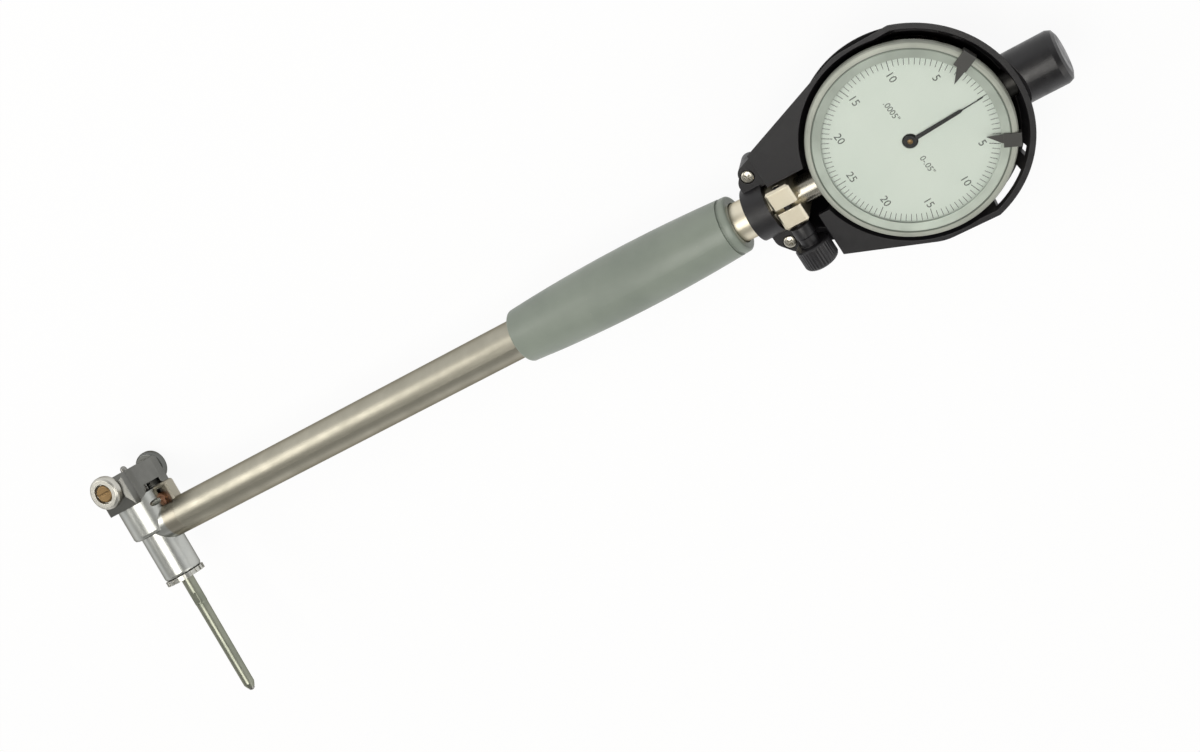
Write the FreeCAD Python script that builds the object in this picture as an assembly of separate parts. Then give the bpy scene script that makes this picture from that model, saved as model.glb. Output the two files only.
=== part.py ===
import FreeCAD, Part
import math
import os

from FreeCAD import Vector as V

# Dial bore gauge for bores of 50 to 150 mm, lying dial up.
# X runs along the tube from the measuring head to the dial, Z is up.
# The origin is on the dial axis, on the back of the guard.
# Inside this file heights are measured from the tube axis, and put() lifts them by AXIS_Z.

# ---- main layout ----
AXIS_Z = 21.6           # tube axis above the back of the guard
HEAD_X = -295.2         # measuring axis, from the dial axis
HEAD_TURN = -16.4       # turn of the head about the tube
TRAVEL = 1.6            # stroke of the contact point

# ---- measuring head ----
BODY_R = 9.0            # upper barrel of the head
BODY_TOP = 12.5
BODY_STEP = -1.5        # where the upper barrel ends
NOSE_R = 6.8            # lower barrel, which takes the rod
NOSE_END = -18.6
FERRULE_R = 6.3         # boss that the tube is pushed on
FERRULE_END = 14.7
SPIGOT_R = 5.3
SPIGOT_END = 24.0
FIN_HALF = 1.9          # half thickness of the crank housing
FIN_TOP = 12.9
SLOT_HALF = 0.95        # half width of the crank slot
CRANK_ARM = 8.0
CRANK_TIP_R = 1.2
PLUNGER_R = 2.0
PLUNGER_TIP_Y = 24.2
RUN = 0.03              # running clearance of a sliding fit, on the radius
ROLLER_R = 5.8
ROLLER_Y = 19.0
ROLLER_IN = 11.7
ROLLER_OUT = 15.2
BRIDGE_TOP = 22.5
BRIDGE_HALF_X = 8.0
GUIDE_Z = 5.6           # guide screws of the bridge, either side of the plunger
ROD_R = 2.2
ROD_TIP_Y = -66.5
NUT_R = 7.1

# ---- dial indicator ----
CASE_R = 24.9
CASE_WALL = 1.9
CASE_BORE = CASE_R - CASE_WALL
CASE_BACK = -8.2
FLANGE_LIP = 1.3        # how far the flange stands out from the case
FLANGE_R = CASE_R + FLANGE_LIP
FLANGE_TOP = 4.1
SPIGOT_TOP = 5.0        # turned spigot of the case, on which the bezel turns
SPIGOT_LIP = 0.7
TURN_R = CASE_R + SPIGOT_LIP
COVER_BACK = -9.4
BACK_SCREW_R = CASE_BORE - 2.0
BEZEL_OVER = 3.7        # how far the bezel stands out from the case
BEZEL_R = CASE_R + BEZEL_OVER
BEZEL_BOTTOM = 4.25
BEZEL_TOP = 6.8
CRYSTAL_OVER = 1.1
CRYSTAL_R = CASE_R + CRYSTAL_OVER
CRYSTAL_Z0 = 5.95
CRYSTAL_Z1 = 6.3
FACE_TOP = 5.4
FACE_LIP = 0.55
FACE_R = CRYSTAL_R - FACE_LIP
WINDOW_LIP = 1.9
WINDOW_R = CRYSTAL_R - WINDOW_LIP
HAND_ANGLE = 4.0
ZERO_ANGLE = 4.4
SPINDLE_R = 1.9
RACK_PITCH = 0.635
RACK_TEETH = 16
WHEEL_TEETH = 96
PINION_TEETH = 12
GEAR_MODULE = 0.16
MARKER_ANGLES = (26.5, -24.5)
BUSH_OUT = 11.1         # length of the upper bush outside the case
BUSH_END = CASE_R + BUSH_OUT
PLATE_X = CASE_BORE - 6.0
PLATE_Y = CASE_BORE - 8.5

# ---- stem clamp ----
NECK_R = 5.95
STEM_R = 4.0
CLAMP_GAP = 10.0        # from the case to the clamp
CLAMP_LENGTH = 7.7
CLAMP_X1 = -CASE_R - CLAMP_GAP
CLAMP_X0 = CLAMP_X1 - CLAMP_LENGTH
CLAMP_HALF_Y = 6.4
CLAMP_TOP = 7.7
CLAMP_BOTTOM = -6.4
SPLIT = 1.3
KNOB_SET = 3.9          # knob axis, behind the front of the clamp
KNOB_X = CLAMP_X1 - KNOB_SET
KNOB_Z = 5.8
KNOB_R = 5.3
KNOB_START = -13.2
KNOB_END = -20.2
CLAMP_SCREW_R = 1.2
STEM_IN = 3.6           # how far the stem reaches past the clamp
STEM_END = CLAMP_X0 - STEM_IN
SPINDLE_END = STEM_END - 2.8
CONTACT_X = SPINDLE_END - 5.0

# ---- tube and grip ----
TUBE_R = 6.3
TUBE_BORE = 5.3
NECK_LENGTH = 14.9
TUBE_END = CLAMP_X0 - NECK_LENGTH
GRIP_OVER = 2.1         # how far the grip covers the neck
GRIP_LENGTH = 78.8
GRIP_END = TUBE_END + GRIP_OVER
GRIP_START = GRIP_END - GRIP_LENGTH
GRIP_MID_R = 10.1
GRIP_END_R = 8.75
PUSH_ROD_R = 1.5
SPIGOT_IN = 19.5        # length of the neck's spigot and guide in the tube
SPRING_END_X = TUBE_END - SPIGOT_IN
SPRING_LENGTH = 13.0
COLLAR_X = SPRING_END_X - SPRING_LENGTH     # collar of the push rod, which carries its spring
MID_GUIDE_X = -190.0

# ---- guard ----
DISH_GAP = 1.7          # from the bezel to the round recess of the guard
DISH_R = BEZEL_R + DISH_GAP
RIM_LAND = 2.9
RIM_R = DISH_R + RIM_LAND
RIM_TOP = 5.0
RIM_WALL = 1.6
TAPER = 0.43            # how far the wall leans in for each millimetre down
RIM_CORNER = 71.5       # angle at which the round rim meets the straight flank
TAIL_REACH = 17.1
TAIL_X = -RIM_R - TAIL_REACH
PANEL_REACH = 7.8
PANEL_X = -RIM_R - PANEL_REACH      # step from the raised panel down to the screw lugs
LUG_TOP = 1.9
WALL = 1.7
LUG_SCREW_X = TAIL_X + 5.1
LUG_SCREW_Y = 11.64
BAND_R = 8.2
CAP_R = 7.7
CAP_OUT = 12.0
CAP_END = RIM_R + CAP_OUT
BOWL_TAIL_R = 17.0      # small round of the back shell
BOWL_TAIL_X = TAIL_X + 17.3
# outline of the front shell: x, y, corner radius; mirrored in Y
FLANK = ((-6.0, RIM_R - 1.9, 14.0), (TAIL_X + 4.0, 16.2, 4.0), (TAIL_X, 11.2, 5.0))

os.makedirs("parts", exist_ok=True)

AXES = {"X": V(1, 0, 0), "Y": V(0, 1, 0), "Z": V(0, 0, 1)}


def rod(axis, radius, start, end, at=(0.0, 0.0)):
    """Round bar along an axis; at holds the two other coordinates in x, y, z order."""
    base = {"X": V(start, at[0], at[1]), "Y": V(at[0], start, at[1]), "Z": V(at[0], at[1], start)}
    return Part.makeCylinder(radius, end - start, base[axis], AXES[axis])


def sleeve(axis, outer, bore, start, end, at=(0.0, 0.0)):
    """Round bar with a bore right through it."""
    return rod(axis, outer, start, end, at).cut(rod(axis, bore, start - 1, end + 1, at))


def block(x0, x1, y0, y1, z0, z1):
    """Square block between two corners."""
    return Part.makeBox(x1 - x0, y1 - y0, z1 - z0, V(x0, y0, z0))


def turned(axis, profile):
    """Solid turned from (distance along the axis, radius) points."""
    side = {"X": V(0, 0, 1), "Y": V(1, 0, 0), "Z": V(1, 0, 0)}[axis]
    points = [AXES[axis] * s + side * r for s, r in profile]
    wire = Part.makePolygon(points + [points[0]])
    return Part.Face(wire).revolve(V(0, 0, 0), AXES[axis], 360)


def moved(shape, x=0.0, y=0.0, z=0.0):
    """Copy of a shape, shifted."""
    copy = shape.copy()
    copy.translate(V(x, y, z))
    return copy


def spun(shape, degrees, axis="Z", centre=(0.0, 0.0, 0.0)):
    """Copy of a shape, turned about an axis."""
    copy = shape.copy()
    copy.rotate(V(*centre), AXES[axis], degrees)
    return copy


def fused(*shapes):
    """One solid from several that touch."""
    first = shapes[0]
    for other in shapes[1:]:
        first = first.fuse(other)
    return first.removeSplitter()


def coil(axis, radius, wire, start, end, turns, at=(0.0, 0.0)):
    """Open coil spring of square wire, from start to end along an axis."""
    rise = end - start - wire
    helix = Part.makeHelix(rise / turns, rise, radius)
    half = wire / 2
    corners = [V(radius - half, 0, -half), V(radius + half, 0, -half),
               V(radius + half, 0, half), V(radius - half, 0, half)]
    section = Part.makePolygon(corners + [corners[0]])
    spring = Part.Wire(helix.Edges).makePipeShell([section], True, True)
    spring.translate(V(0, 0, start + half))
    if axis == "X":
        spring.rotate(V(0, 0, 0), V(0, 1, 0), 90)
        spring.translate(V(0, at[0], at[1]))
    elif axis == "Y":
        spring.rotate(V(0, 0, 0), V(1, 0, 0), -90)
        spring.translate(V(at[0], 0, at[1]))
    return spring


def gear(teeth, module, z0, z1, tooth_at, bore, at):
    """Spur gear with straight flanks; tooth_at is the angle of one tooth."""
    pitch_r = teeth * module / 2
    tip_r = pitch_r + 0.75 * module
    root_r = pitch_r - 1.15 * module
    step = 360.0 / teeth
    points = []
    for k in range(teeth):
        centre = tooth_at + k * step
        for part, r in ((-0.34, root_r), (-0.13, tip_r), (0.13, tip_r), (0.34, root_r)):
            a = math.radians(centre + part * step)
            points.append(V(r * math.cos(a), r * math.sin(a), z0))
    blank = Part.Face(Part.makePolygon(points + [points[0]])).extrude(V(0, 0, z1 - z0))
    return moved(blank.cut(rod("Z", bore, z0 - 1, z1 + 1)), at[0], at[1])


def put(name, shape):
    """Writes one node of the dial end, the tube or the guard."""
    moved(shape, 0, 0, AXIS_Z).exportStep("parts/%s.step" % name)


def put_head(name, shape):
    """Writes one node of the measuring head, turned and moved to its place."""
    placed = spun(shape, HEAD_TURN, "X")
    moved(placed, HEAD_X, 0, AXIS_Z).exportStep("parts/%s.step" % name)


# ------------------------------------------------------------------ measuring head
def head_body():
    """Turned head with the rod socket, the ferrule boss and the slot of the crank."""
    barrel = turned("Y", [(BODY_STEP, 0), (BODY_STEP, BODY_R - 1.2), (BODY_STEP + 0.35, BODY_R - 0.35),
                          (BODY_STEP + 1.2, BODY_R), (BODY_TOP, BODY_R), (BODY_TOP, 0)])
    nose = turned("Y", [(NOSE_END, 0), (NOSE_END, NOSE_R - 1.0), (NOSE_END + 0.3, NOSE_R - 0.3),
                        (NOSE_END + 1.0, NOSE_R), (0, NOSE_R), (0, 0)])
    boss = rod("X", FERRULE_R, 0, FERRULE_END)
    spigot = rod("X", SPIGOT_R, 0, SPIGOT_END)
    fin = block(0, FERRULE_END, 0, FIN_TOP, -FIN_HALF, FIN_HALF)
    fin = fin.makeFillet(1.0, [e for e in fin.Edges if e.BoundBox.XMin > FERRULE_END - 0.01
                               and e.BoundBox.YMin > FIN_TOP - 0.01])
    body = fused(barrel, nose, boss, spigot, fin)
    slot = block(-2.6, FERRULE_END - 1.1, -3.0, BODY_TOP - 1.0, -SLOT_HALF, SLOT_HALF)
    window = block(BODY_R - 0.4, FERRULE_END - 1.1, 4.6, FIN_TOP - 0.9, 0, FIN_HALF + 1)
    body = body.cut(slot).cut(window)
    body = body.cut(rod("Y", 3.0, 4.0, BODY_TOP + 1))
    body = body.cut(rod("Y", ROD_R, NOSE_END - 1, -9.0))
    body = body.cut(rod("X", PUSH_ROD_R + RUN, 2.0, SPIGOT_END + 1))
    body = body.cut(rod("Z", 1.0, -FIN_HALF - 8, FIN_HALF + 8, (CRANK_ARM, CRANK_ARM)))
    for side in (-1, 1):
        body = body.cut(rod("Y", 0.9, BODY_TOP - 5.5, BODY_TOP + 1, (0, side * GUIDE_Z)))
    return body


def plunger_bush():
    """Bush pressed in the head, in which the plunger slides."""
    tube = sleeve("Y", 3.0, PLUNGER_R + RUN, 9.6, 17.0)
    return tube.cut(block(-4, 4, 9, BODY_TOP - 1.0, -SLOT_HALF, SLOT_HALF))


def bridge():
    """Sprung saddle that centres the gauge; its skirt slides on the barrel of the head."""
    arch = [V(0, BRIDGE_TOP, -9.4), V(0, BRIDGE_TOP, 9.4), V(0, 20.6, ROLLER_IN - 0.3),
            V(0, 14.6, ROLLER_IN - 0.3), V(0, 10.6, 10.4), V(0, 10.6, 8.4), V(0, 13.6, 4.0),
            V(0, 13.6, -4.0), V(0, 10.6, -8.4), V(0, 10.6, -10.4), V(0, 14.6, -ROLLER_IN + 0.3),
            V(0, 20.6, -ROLLER_IN + 0.3)]
    arch = [V(-BRIDGE_HALF_X, p.y, p.z) for p in arch]
    saddle = Part.Face(Part.makePolygon(arch + [arch[0]])).extrude(V(2 * BRIDGE_HALF_X, 0, 0))
    # the sides are rounded to follow the barrel
    saddle = saddle.common(rod("Y", ROLLER_IN + 0.6, 0, 30))
    saddle = saddle.common(fused(rod("Y", 9.9, 0, 30), block(-6.5, 6.5, 0, 30, -13, 13)))
    saddle = saddle.cut(rod("Y", BODY_R + RUN, 0, BODY_TOP + TRAVEL + 0.9))
    saddle = saddle.cut(rod("Y", 3.2, 0, 19.0)).cut(rod("Y", PLUNGER_R + 0.3, 0, 30))
    for side in (-1, 1):
        at = (0, side * GUIDE_Z)
        saddle = saddle.cut(rod("Y", 1.9, 0, 17.5, at)).cut(rod("Y", 1.1 + RUN, 0, 30, at))
        saddle = saddle.cut(rod("Y", 1.95, 20.9, 30, at))
        hub = rod("Z", 3.6, ROLLER_IN - 0.8, ROLLER_IN - 0.1, (0, ROLLER_Y))
        thread = rod("Z", 1.2, ROLLER_IN - 4.0, ROLLER_IN + 1, (0, ROLLER_Y))
        if side < 0:
            hub = hub.mirror(V(0, 0, 0), V(0, 0, 1))
            thread = thread.mirror(V(0, 0, 0), V(0, 0, 1))
        saddle = saddle.fuse(hub).cut(thread)
    return saddle.removeSplitter()


def roller():
    """Hardened roller with a rounded tread and a recess for its screw."""
    profile = [(ROLLER_IN, 1.8), (ROLLER_IN, ROLLER_R - 0.8), (ROLLER_IN + 0.5, ROLLER_R - 0.15),
               (ROLLER_IN + 1.1, ROLLER_R), (ROLLER_OUT - 1.1, ROLLER_R),
               (ROLLER_OUT - 0.5, ROLLER_R - 0.15), (ROLLER_OUT, ROLLER_R - 0.8),
               (ROLLER_OUT, 3.5), (ROLLER_OUT - 1.1, 3.5), (ROLLER_OUT - 1.1, 1.8)]
    return moved(turned("Z", profile), 0, ROLLER_Y, 0)


def roller_screw():
    """Slotted shoulder screw on which a roller turns."""
    profile = [(ROLLER_IN - 4.0, 0), (ROLLER_IN - 4.0, 1.2), (ROLLER_IN - 0.1, 1.2), (ROLLER_IN - 0.1, 1.75),
               (ROLLER_OUT - 1.05, 1.75), (ROLLER_OUT - 1.05, 3.1), (ROLLER_OUT - 0.5, 3.1),
               (ROLLER_OUT - 0.2, 2.7), (ROLLER_OUT - 0.2, 0)]
    screw = moved(turned("Z", profile), 0, ROLLER_Y, 0)
    return screw.cut(block(-4, 4, ROLLER_Y - 0.35, ROLLER_Y + 0.35, ROLLER_OUT - 0.75, ROLLER_OUT + 1))


def guide_screws():
    """Two shoulder screws that guide the bridge and stop it from coming off."""
    profile = [(BODY_TOP - 5.5, 0), (BODY_TOP - 5.5, 0.9), (BODY_TOP, 0.9), (BODY_TOP, 1.1),
               (20.95, 1.1), (20.95, 1.85), (22.2, 1.85), (22.2, 0)]
    screw = turned("Y", profile).cut(block(-3, 3, 21.6, 23, -0.25, 0.25))
    return Part.makeCompound([moved(screw, 0, 0, side * GUIDE_Z) for side in (-1, 1)])


def plunger():
    """Sliding contact: guided shank with a thin nose on the crank and a neck for the tip."""
    low = CRANK_ARM + CRANK_TIP_R + 0.04
    return turned("Y", [(low, 0), (low, 0.9), (low + 1.7, 0.9), (low + 2.2, PLUNGER_R), (21.0, PLUNGER_R),
                        (21.6, 1.5), (21.6, 0)])


def plunger_tip():
    """Rounded carbide tip of the plunger."""
    return turned("Y", [(21.6, 0), (21.6, 1.25), (PLUNGER_TIP_Y - 0.8, 1.1), (PLUNGER_TIP_Y - 0.3, 0.8),
                        (PLUNGER_TIP_Y, 0.3), (PLUNGER_TIP_Y, 0)])


def bell_crank():
    """Flat right-angled lever that turns the plunger's stroke into the rod's."""
    t = 0.85
    pivot = (CRANK_ARM, CRANK_ARM)
    web = [V(0, CRANK_ARM - 1.0, -t), V(CRANK_ARM - 1.0, 0, -t), V(CRANK_ARM + 1.0, 0, -t),
           V(CRANK_ARM + 1.9, CRANK_ARM, -t), V(CRANK_ARM, CRANK_ARM + 1.9, -t), V(0, CRANK_ARM + 0.6, -t)]
    plate = Part.Face(Part.makePolygon(web + [web[0]])).extrude(V(0, 0, 2 * t))
    relief = rod("Z", 4.6, -2, 2, (1.6, 1.6))
    tips = [rod("Z", CRANK_TIP_R, -t, t, (0, CRANK_ARM)), rod("Z", CRANK_TIP_R, -t, t, (CRANK_ARM, 0))]
    lever = fused(plate.cut(relief), rod("Z", 2.1, -t, t, pivot), *tips)
    return lever.cut(rod("Z", 1.0 + RUN, -2, 2, pivot))


def measuring_rod():
    """Interchangeable fixed rod with spanner flats."""
    profile = [(ROD_TIP_Y + 1.1, 0), (ROD_TIP_Y + 1.1, 1.3), (ROD_TIP_Y + 2.6, ROD_R - 0.25),
               (-31.0, ROD_R - 0.1), (-30.6, ROD_R), (-9.0, ROD_R), (-9.0, 0)]
    bar = turned("Y", profile)
    flats = fused(block(-4, 4, -30.4, -26.4, ROD_R - 0.35, 4), block(-4, 4, -30.4, -26.4, -4, 0.35 - ROD_R))
    return bar.cut(flats)


def measuring_rod_tip():
    """Rounded hard tip of the fixed rod."""
    return turned("Y", [(ROD_TIP_Y, 0), (ROD_TIP_Y, 0.35), (ROD_TIP_Y + 0.35, 0.95),
                        (ROD_TIP_Y + 1.1, 1.2), (ROD_TIP_Y + 1.1, 0)])


def lock_nut():
    """Thin notched nut that locks the fixed rod."""
    disc = sleeve("Y", NUT_R, ROD_R, NOSE_END - 1.75, NOSE_END - 0.02)
    notch = block(NUT_R - 0.45, NUT_R + 1, NOSE_END - 3, NOSE_END + 1, -0.45, 0.45)
    cuts = [spun(notch, k * 18.0, "Y") for k in range(20)]
    return disc.cut(Part.makeCompound(cuts))


put_head("head_body", head_body())
put_head("plunger_bush", plunger_bush())
put_head("bridge", bridge())
near_roller = roller()
near_screw = roller_screw()
put_head("roller_near", near_roller)
put_head("roller_far", near_roller.mirror(V(0, 0, 0), V(0, 0, 1)))
put_head("roller_screw_near", near_screw)
put_head("roller_screw_far", near_screw.mirror(V(0, 0, 0), V(0, 0, 1)))
put_head("guide_screws", guide_screws())
for side, name in ((1, "bridge_spring_near"), (-1, "bridge_spring_far")):
    put_head(name, coil("Y", 1.5, 0.3, BODY_TOP + 0.02, 17.48, 5, (0, side * GUIDE_Z)))
put_head("plunger", plunger())
put_head("plunger_tip", plunger_tip())
put_head("bell_crank", bell_crank())
put_head("crank_pin", rod("Z", 1.0, -FIN_HALF, FIN_HALF, (CRANK_ARM, CRANK_ARM)))
put_head("measuring_rod", measuring_rod())
put_head("measuring_rod_tip", measuring_rod_tip())
put_head("lock_nut", lock_nut())


# ------------------------------------------------------------------ tube, push rod and grip
def grip():
    """Barrel-shaped hand grip with a groove near its upper end."""
    mid_x = (GRIP_START + GRIP_END) / 2
    left = V(GRIP_START, 0, GRIP_END_R - 0.1)
    right = V(GRIP_END, 0, GRIP_END_R - 0.1)
    crown = Part.Arc(left, V(mid_x, 0, GRIP_MID_R), right).toShape()
    side_b = Part.makeLine(right, V(GRIP_END, 0, TUBE_R))
    inner = Part.makeLine(V(GRIP_END, 0, TUBE_R), V(GRIP_START, 0, TUBE_R))
    side_a = Part.makeLine(V(GRIP_START, 0, TUBE_R), left)
    shell = Part.Face(Part.Wire([crown, side_b, inner, side_a])).revolve(V(0, 0, 0), V(1, 0, 0), 360)
    ends = [e for e in shell.Edges if len(e.Vertexes) == 1 and abs(e.BoundBox.ZMax - GRIP_END_R + 0.1) < 0.01
            and e.BoundBox.XLength < 0.01]
    shell = shell.makeFillet(0.9, ends)
    groove = sleeve("X", 12, GRIP_END_R - 0.45, GRIP_END - 3.0, GRIP_END - 2.0)
    return shell.cut(groove)


def push_rod():
    """Long rod from the crank to the dial's contact point, with a collar for its spring."""
    start = HEAD_X + CRANK_ARM + CRANK_TIP_R + 0.04
    return turned("X", [(start, 0), (start, 1.1), (start + 0.4, PUSH_ROD_R), (COLLAR_X - 2, PUSH_ROD_R),
                        (COLLAR_X - 2, 3.4), (COLLAR_X, 3.4), (COLLAR_X, PUSH_ROD_R),
                        (CONTACT_X - 0.4, PUSH_ROD_R), (CONTACT_X - 0.05, 1.1), (CONTACT_X - 0.05, 0)])


put("tube", sleeve("X", TUBE_R, TUBE_BORE, HEAD_X + FERRULE_END, TUBE_END))
put("grip", grip())
put("push_rod", push_rod())
put("push_rod_spring", coil("X", 2.6, 0.4, COLLAR_X + 0.02, SPRING_END_X - 0.02, 7))
put("rod_guide_upper", sleeve("X", TUBE_BORE, PUSH_ROD_R + RUN, SPRING_END_X, SPRING_END_X + 2.0))
put("rod_guide_middle", sleeve("X", TUBE_BORE, PUSH_ROD_R + RUN, MID_GUIDE_X, MID_GUIDE_X + 4.0))


# ------------------------------------------------------------------ stem clamp
def stem_clamp():
    """Split collar at the end of the tube that holds the dial's stem."""
    spigot = rod("X", TUBE_BORE, SPRING_END_X + 2.0, TUBE_END)
    neck = rod("X", NECK_R, TUBE_END, CLAMP_X0 + 0.1)
    jaw = block(CLAMP_X0, CLAMP_X1, -CLAMP_HALF_Y, CLAMP_HALF_Y, CLAMP_BOTTOM, CLAMP_TOP)
    jaw = jaw.makeChamfer(0.7, [e for e in jaw.Edges if e.BoundBox.ZMin > CLAMP_TOP - 0.01
                                or e.BoundBox.ZLength > 5 or e.BoundBox.ZMax < CLAMP_BOTTOM + 0.01])
    body = fused(spigot, neck, jaw)
    body = body.cut(rod("X", 3.0, -100, STEM_END - 0.2))
    body = body.cut(rod("X", STEM_R, STEM_END - 0.3, CLAMP_X1 + 1))
    body = body.cut(block(STEM_END - 0.2, CLAMP_X1 + 1, -SPLIT / 2, SPLIT / 2, 0, CLAMP_TOP + 1))
    return body.cut(rod("Y", CLAMP_SCREW_R + RUN, -CLAMP_HALF_Y - 1, CLAMP_HALF_Y + 1, (KNOB_X, KNOB_Z)))


def clamp_knob():
    """Thumb knob with its screw; the rim is fluted for grip."""
    profile = [(KNOB_END, 0), (KNOB_END, KNOB_R - 0.8), (KNOB_END + 0.8, KNOB_R), (KNOB_START - 0.4, KNOB_R),
               (KNOB_START, KNOB_R - 0.4), (KNOB_START, 2.7), (KNOB_START + 2.6, 2.7),
               (KNOB_START + 3.0, 3.0), (-CLAMP_HALF_Y - 0.35, 3.0), (-CLAMP_HALF_Y - 0.35, CLAMP_SCREW_R),
               (CLAMP_HALF_Y - 0.3, CLAMP_SCREW_R), (CLAMP_HALF_Y, CLAMP_SCREW_R - 0.3), (CLAMP_HALF_Y, 0)]
    knob = turned("Y", profile)
    flutes = [rod("Y", 0.5, KNOB_END - 1, KNOB_START + 1, ((KNOB_R + 0.25) * math.cos(math.radians(a)),
                                                         (KNOB_R + 0.25) * math.sin(math.radians(a))))
              for a in range(0, 360, 20)]
    return moved(knob.cut(Part.makeCompound(flutes)), KNOB_X, 0, KNOB_Z)


put("stem_clamp", stem_clamp())
put("clamp_knob", clamp_knob())


# ------------------------------------------------------------------ dial indicator
WHEEL_DISTANCE = GEAR_MODULE * (WHEEL_TEETH + PINION_TEETH) / 2
RACK_PINION_R = RACK_TEETH * RACK_PITCH / (2 * math.pi)
RACK_LINE_Y = 1.3
ARBOR_Y = RACK_LINE_Y + RACK_PINION_R
ARBOR_X = -math.sqrt(WHEEL_DISTANCE ** 2 - ARBOR_Y ** 2)
MESH_ANGLE = math.degrees(math.atan2(-ARBOR_Y, -ARBOR_X))
PILLARS = [(x * (PLATE_X - 3.0), y * (PLATE_Y - 3.0)) for x in (-1, 1) for y in (-1, 1)]


def case():
    """Ring-shaped case with a flange on which the bezel turns."""
    wall = turned("Z", [(CASE_BACK, CASE_BORE), (CASE_BACK, CASE_R), (1.2, CASE_R), (2.0, FLANGE_R),
                        (FLANGE_TOP, FLANGE_R), (FLANGE_TOP, TURN_R), (SPIGOT_TOP, TURN_R),
                        (SPIGOT_TOP, CASE_BORE)])
    return wall.cut(rod("X", STEM_R, -40, -15)).cut(rod("X", STEM_R, 15, 40))


def case_back():
    """Back cover with the lug that such indicators have."""
    disc = turned("Z", [(COVER_BACK, 0), (COVER_BACK, CASE_R - 0.8), (COVER_BACK + 0.8, CASE_R),
                        (CASE_BACK, CASE_R), (CASE_BACK, 0)])
    lug = block(-8, 8, -3.0, 3.0, COVER_BACK - 7.0, COVER_BACK + 0.3)
    lug = lug.makeFillet(2.5, [e for e in lug.Edges if e.BoundBox.YLength > 5
                               and e.BoundBox.ZMax < COVER_BACK - 6])
    back = fused(disc, lug).cut(rod("Y", 3.2, -5, 5, (0, COVER_BACK - 3.6)))
    for a in (45, 135, 225, 315):
        x, y = BACK_SCREW_R * math.cos(math.radians(a)), BACK_SCREW_R * math.sin(math.radians(a))
        back = back.cut(rod("Z", 0.8, COVER_BACK - 1, 0, (x, y)))
    return back


def back_screws():
    """Four small screws of the back cover."""
    screw = turned("Z", [(COVER_BACK - 0.9, 0), (COVER_BACK - 0.9, 1.1), (COVER_BACK - 0.5, 1.5),
                         (COVER_BACK, 1.5), (COVER_BACK, 0.8), (CASE_BACK, 0.8), (CASE_BACK, 0)])
    screw = screw.cut(block(-2, 2, -0.2, 0.2, COVER_BACK - 1, COVER_BACK - 0.55))
    turns = [math.radians(a) for a in (45, 135, 225, 315)]
    places = [BACK_SCREW_R * V(math.cos(t), math.sin(t), 0) for t in turns]
    return Part.makeCompound([moved(screw, p.x, p.y, 0) for p in places])


def spindle():
    """Rack spindle; the rack is cut in its side."""
    bar = rod("X", SPINDLE_R, SPINDLE_END, BUSH_END - 2.0)
    tip_y = RACK_LINE_Y + 0.14
    root_y = RACK_LINE_Y - 0.22
    first = ARBOR_X - 4.5 * RACK_PITCH
    bar = bar.cut(block(first - 1.2, first + 9 * RACK_PITCH + 1.2, tip_y, 3, -2, 2))
    gaps = []
    for k in range(10):
        x = first + (k + 0.5) * RACK_PITCH
        gap = [V(x - 0.12, root_y, -2), V(x + 0.12, root_y, -2), V(x + 0.235, 2, -2), V(x - 0.235, 2, -2)]
        gaps.append(Part.Face(Part.makePolygon(gap + [gap[0]])).extrude(V(0, 0, 4)))
    return bar.cut(Part.makeCompound(gaps))


def contact_point():
    """Screwed-in contact of the spindle, which rests on the push rod."""
    return turned("X", [(CONTACT_X, 0), (CONTACT_X, 0.5), (CONTACT_X + 0.4, 1.1), (CONTACT_X + 1.4, 1.5),
                        (CONTACT_X + 2.0, 2.3), (SPINDLE_END, 2.3), (SPINDLE_END, 0)])


def movement_plate_front():
    """Front plate of the movement, seated in the case."""
    plate = rod("Z", CASE_BORE, 4.1, 4.7)
    bush = rod("Z", 1.5, 2.75, 4.95)
    plate = fused(plate, bush).cut(rod("Z", 0.6 + RUN, 0, 6))
    for x, y in ((ARBOR_X, ARBOR_Y), (-ARBOR_X, -ARBOR_Y)):
        plate = plate.cut(rod("Z", 0.4 + RUN, 0, 6, (x, y)))
    return plate


def movement_plate_back():
    """Back plate of the movement, carried by four pillars."""
    plate = block(-PLATE_X, PLATE_X, -PLATE_Y, PLATE_Y, -5.2, -4.3)
    plate = plate.makeFillet(3.0, [e for e in plate.Edges if e.BoundBox.ZLength > 0.5])
    for x, y in ((ARBOR_X, ARBOR_Y), (-ARBOR_X, -ARBOR_Y)):
        plate = plate.cut(rod("Z", 0.4 + RUN, -8, 0, (x, y)))
    return plate


def hairspring():
    """Flat spiral spring: half rings of growing radius."""
    halves = []
    step = 0.32
    for k in range(8):
        r = 1.2 + k * step / 2
        ring = sleeve("Z", r + 0.06, r - 0.06, -3.2, -2.8)
        keep = block(-9, 9, 0, 9, -4, -2) if k % 2 == 0 else block(-9, 9, -9, 0, -4, -2)
        halves.append(moved(ring.common(keep), (k % 2) * step / 2, 0, 0))
    return moved(fused(*halves), -ARBOR_X, -ARBOR_Y, 0)


def rack_arbor():
    """Arbor with the rack pinion and the large wheel."""
    pinion = gear(RACK_TEETH, 2 * RACK_PINION_R / RACK_TEETH, -1.6, 1.6, -90, 0.3, (0, 0))
    wheel = gear(WHEEL_TEETH, GEAR_MODULE, 2.1, 2.5, MESH_ANGLE, 0.3, (0, 0))
    shaft = rod("Z", 0.4, -5.2, 4.7)
    collars = rod("Z", 0.9, -4.2, 4.0)
    pinion_gap = rod("Z", 3.0, -1.6, 1.6)
    arbor = fused(collars.cut(pinion_gap), shaft, pinion, wheel)
    return moved(arbor, ARBOR_X, ARBOR_Y, 0)


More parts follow.
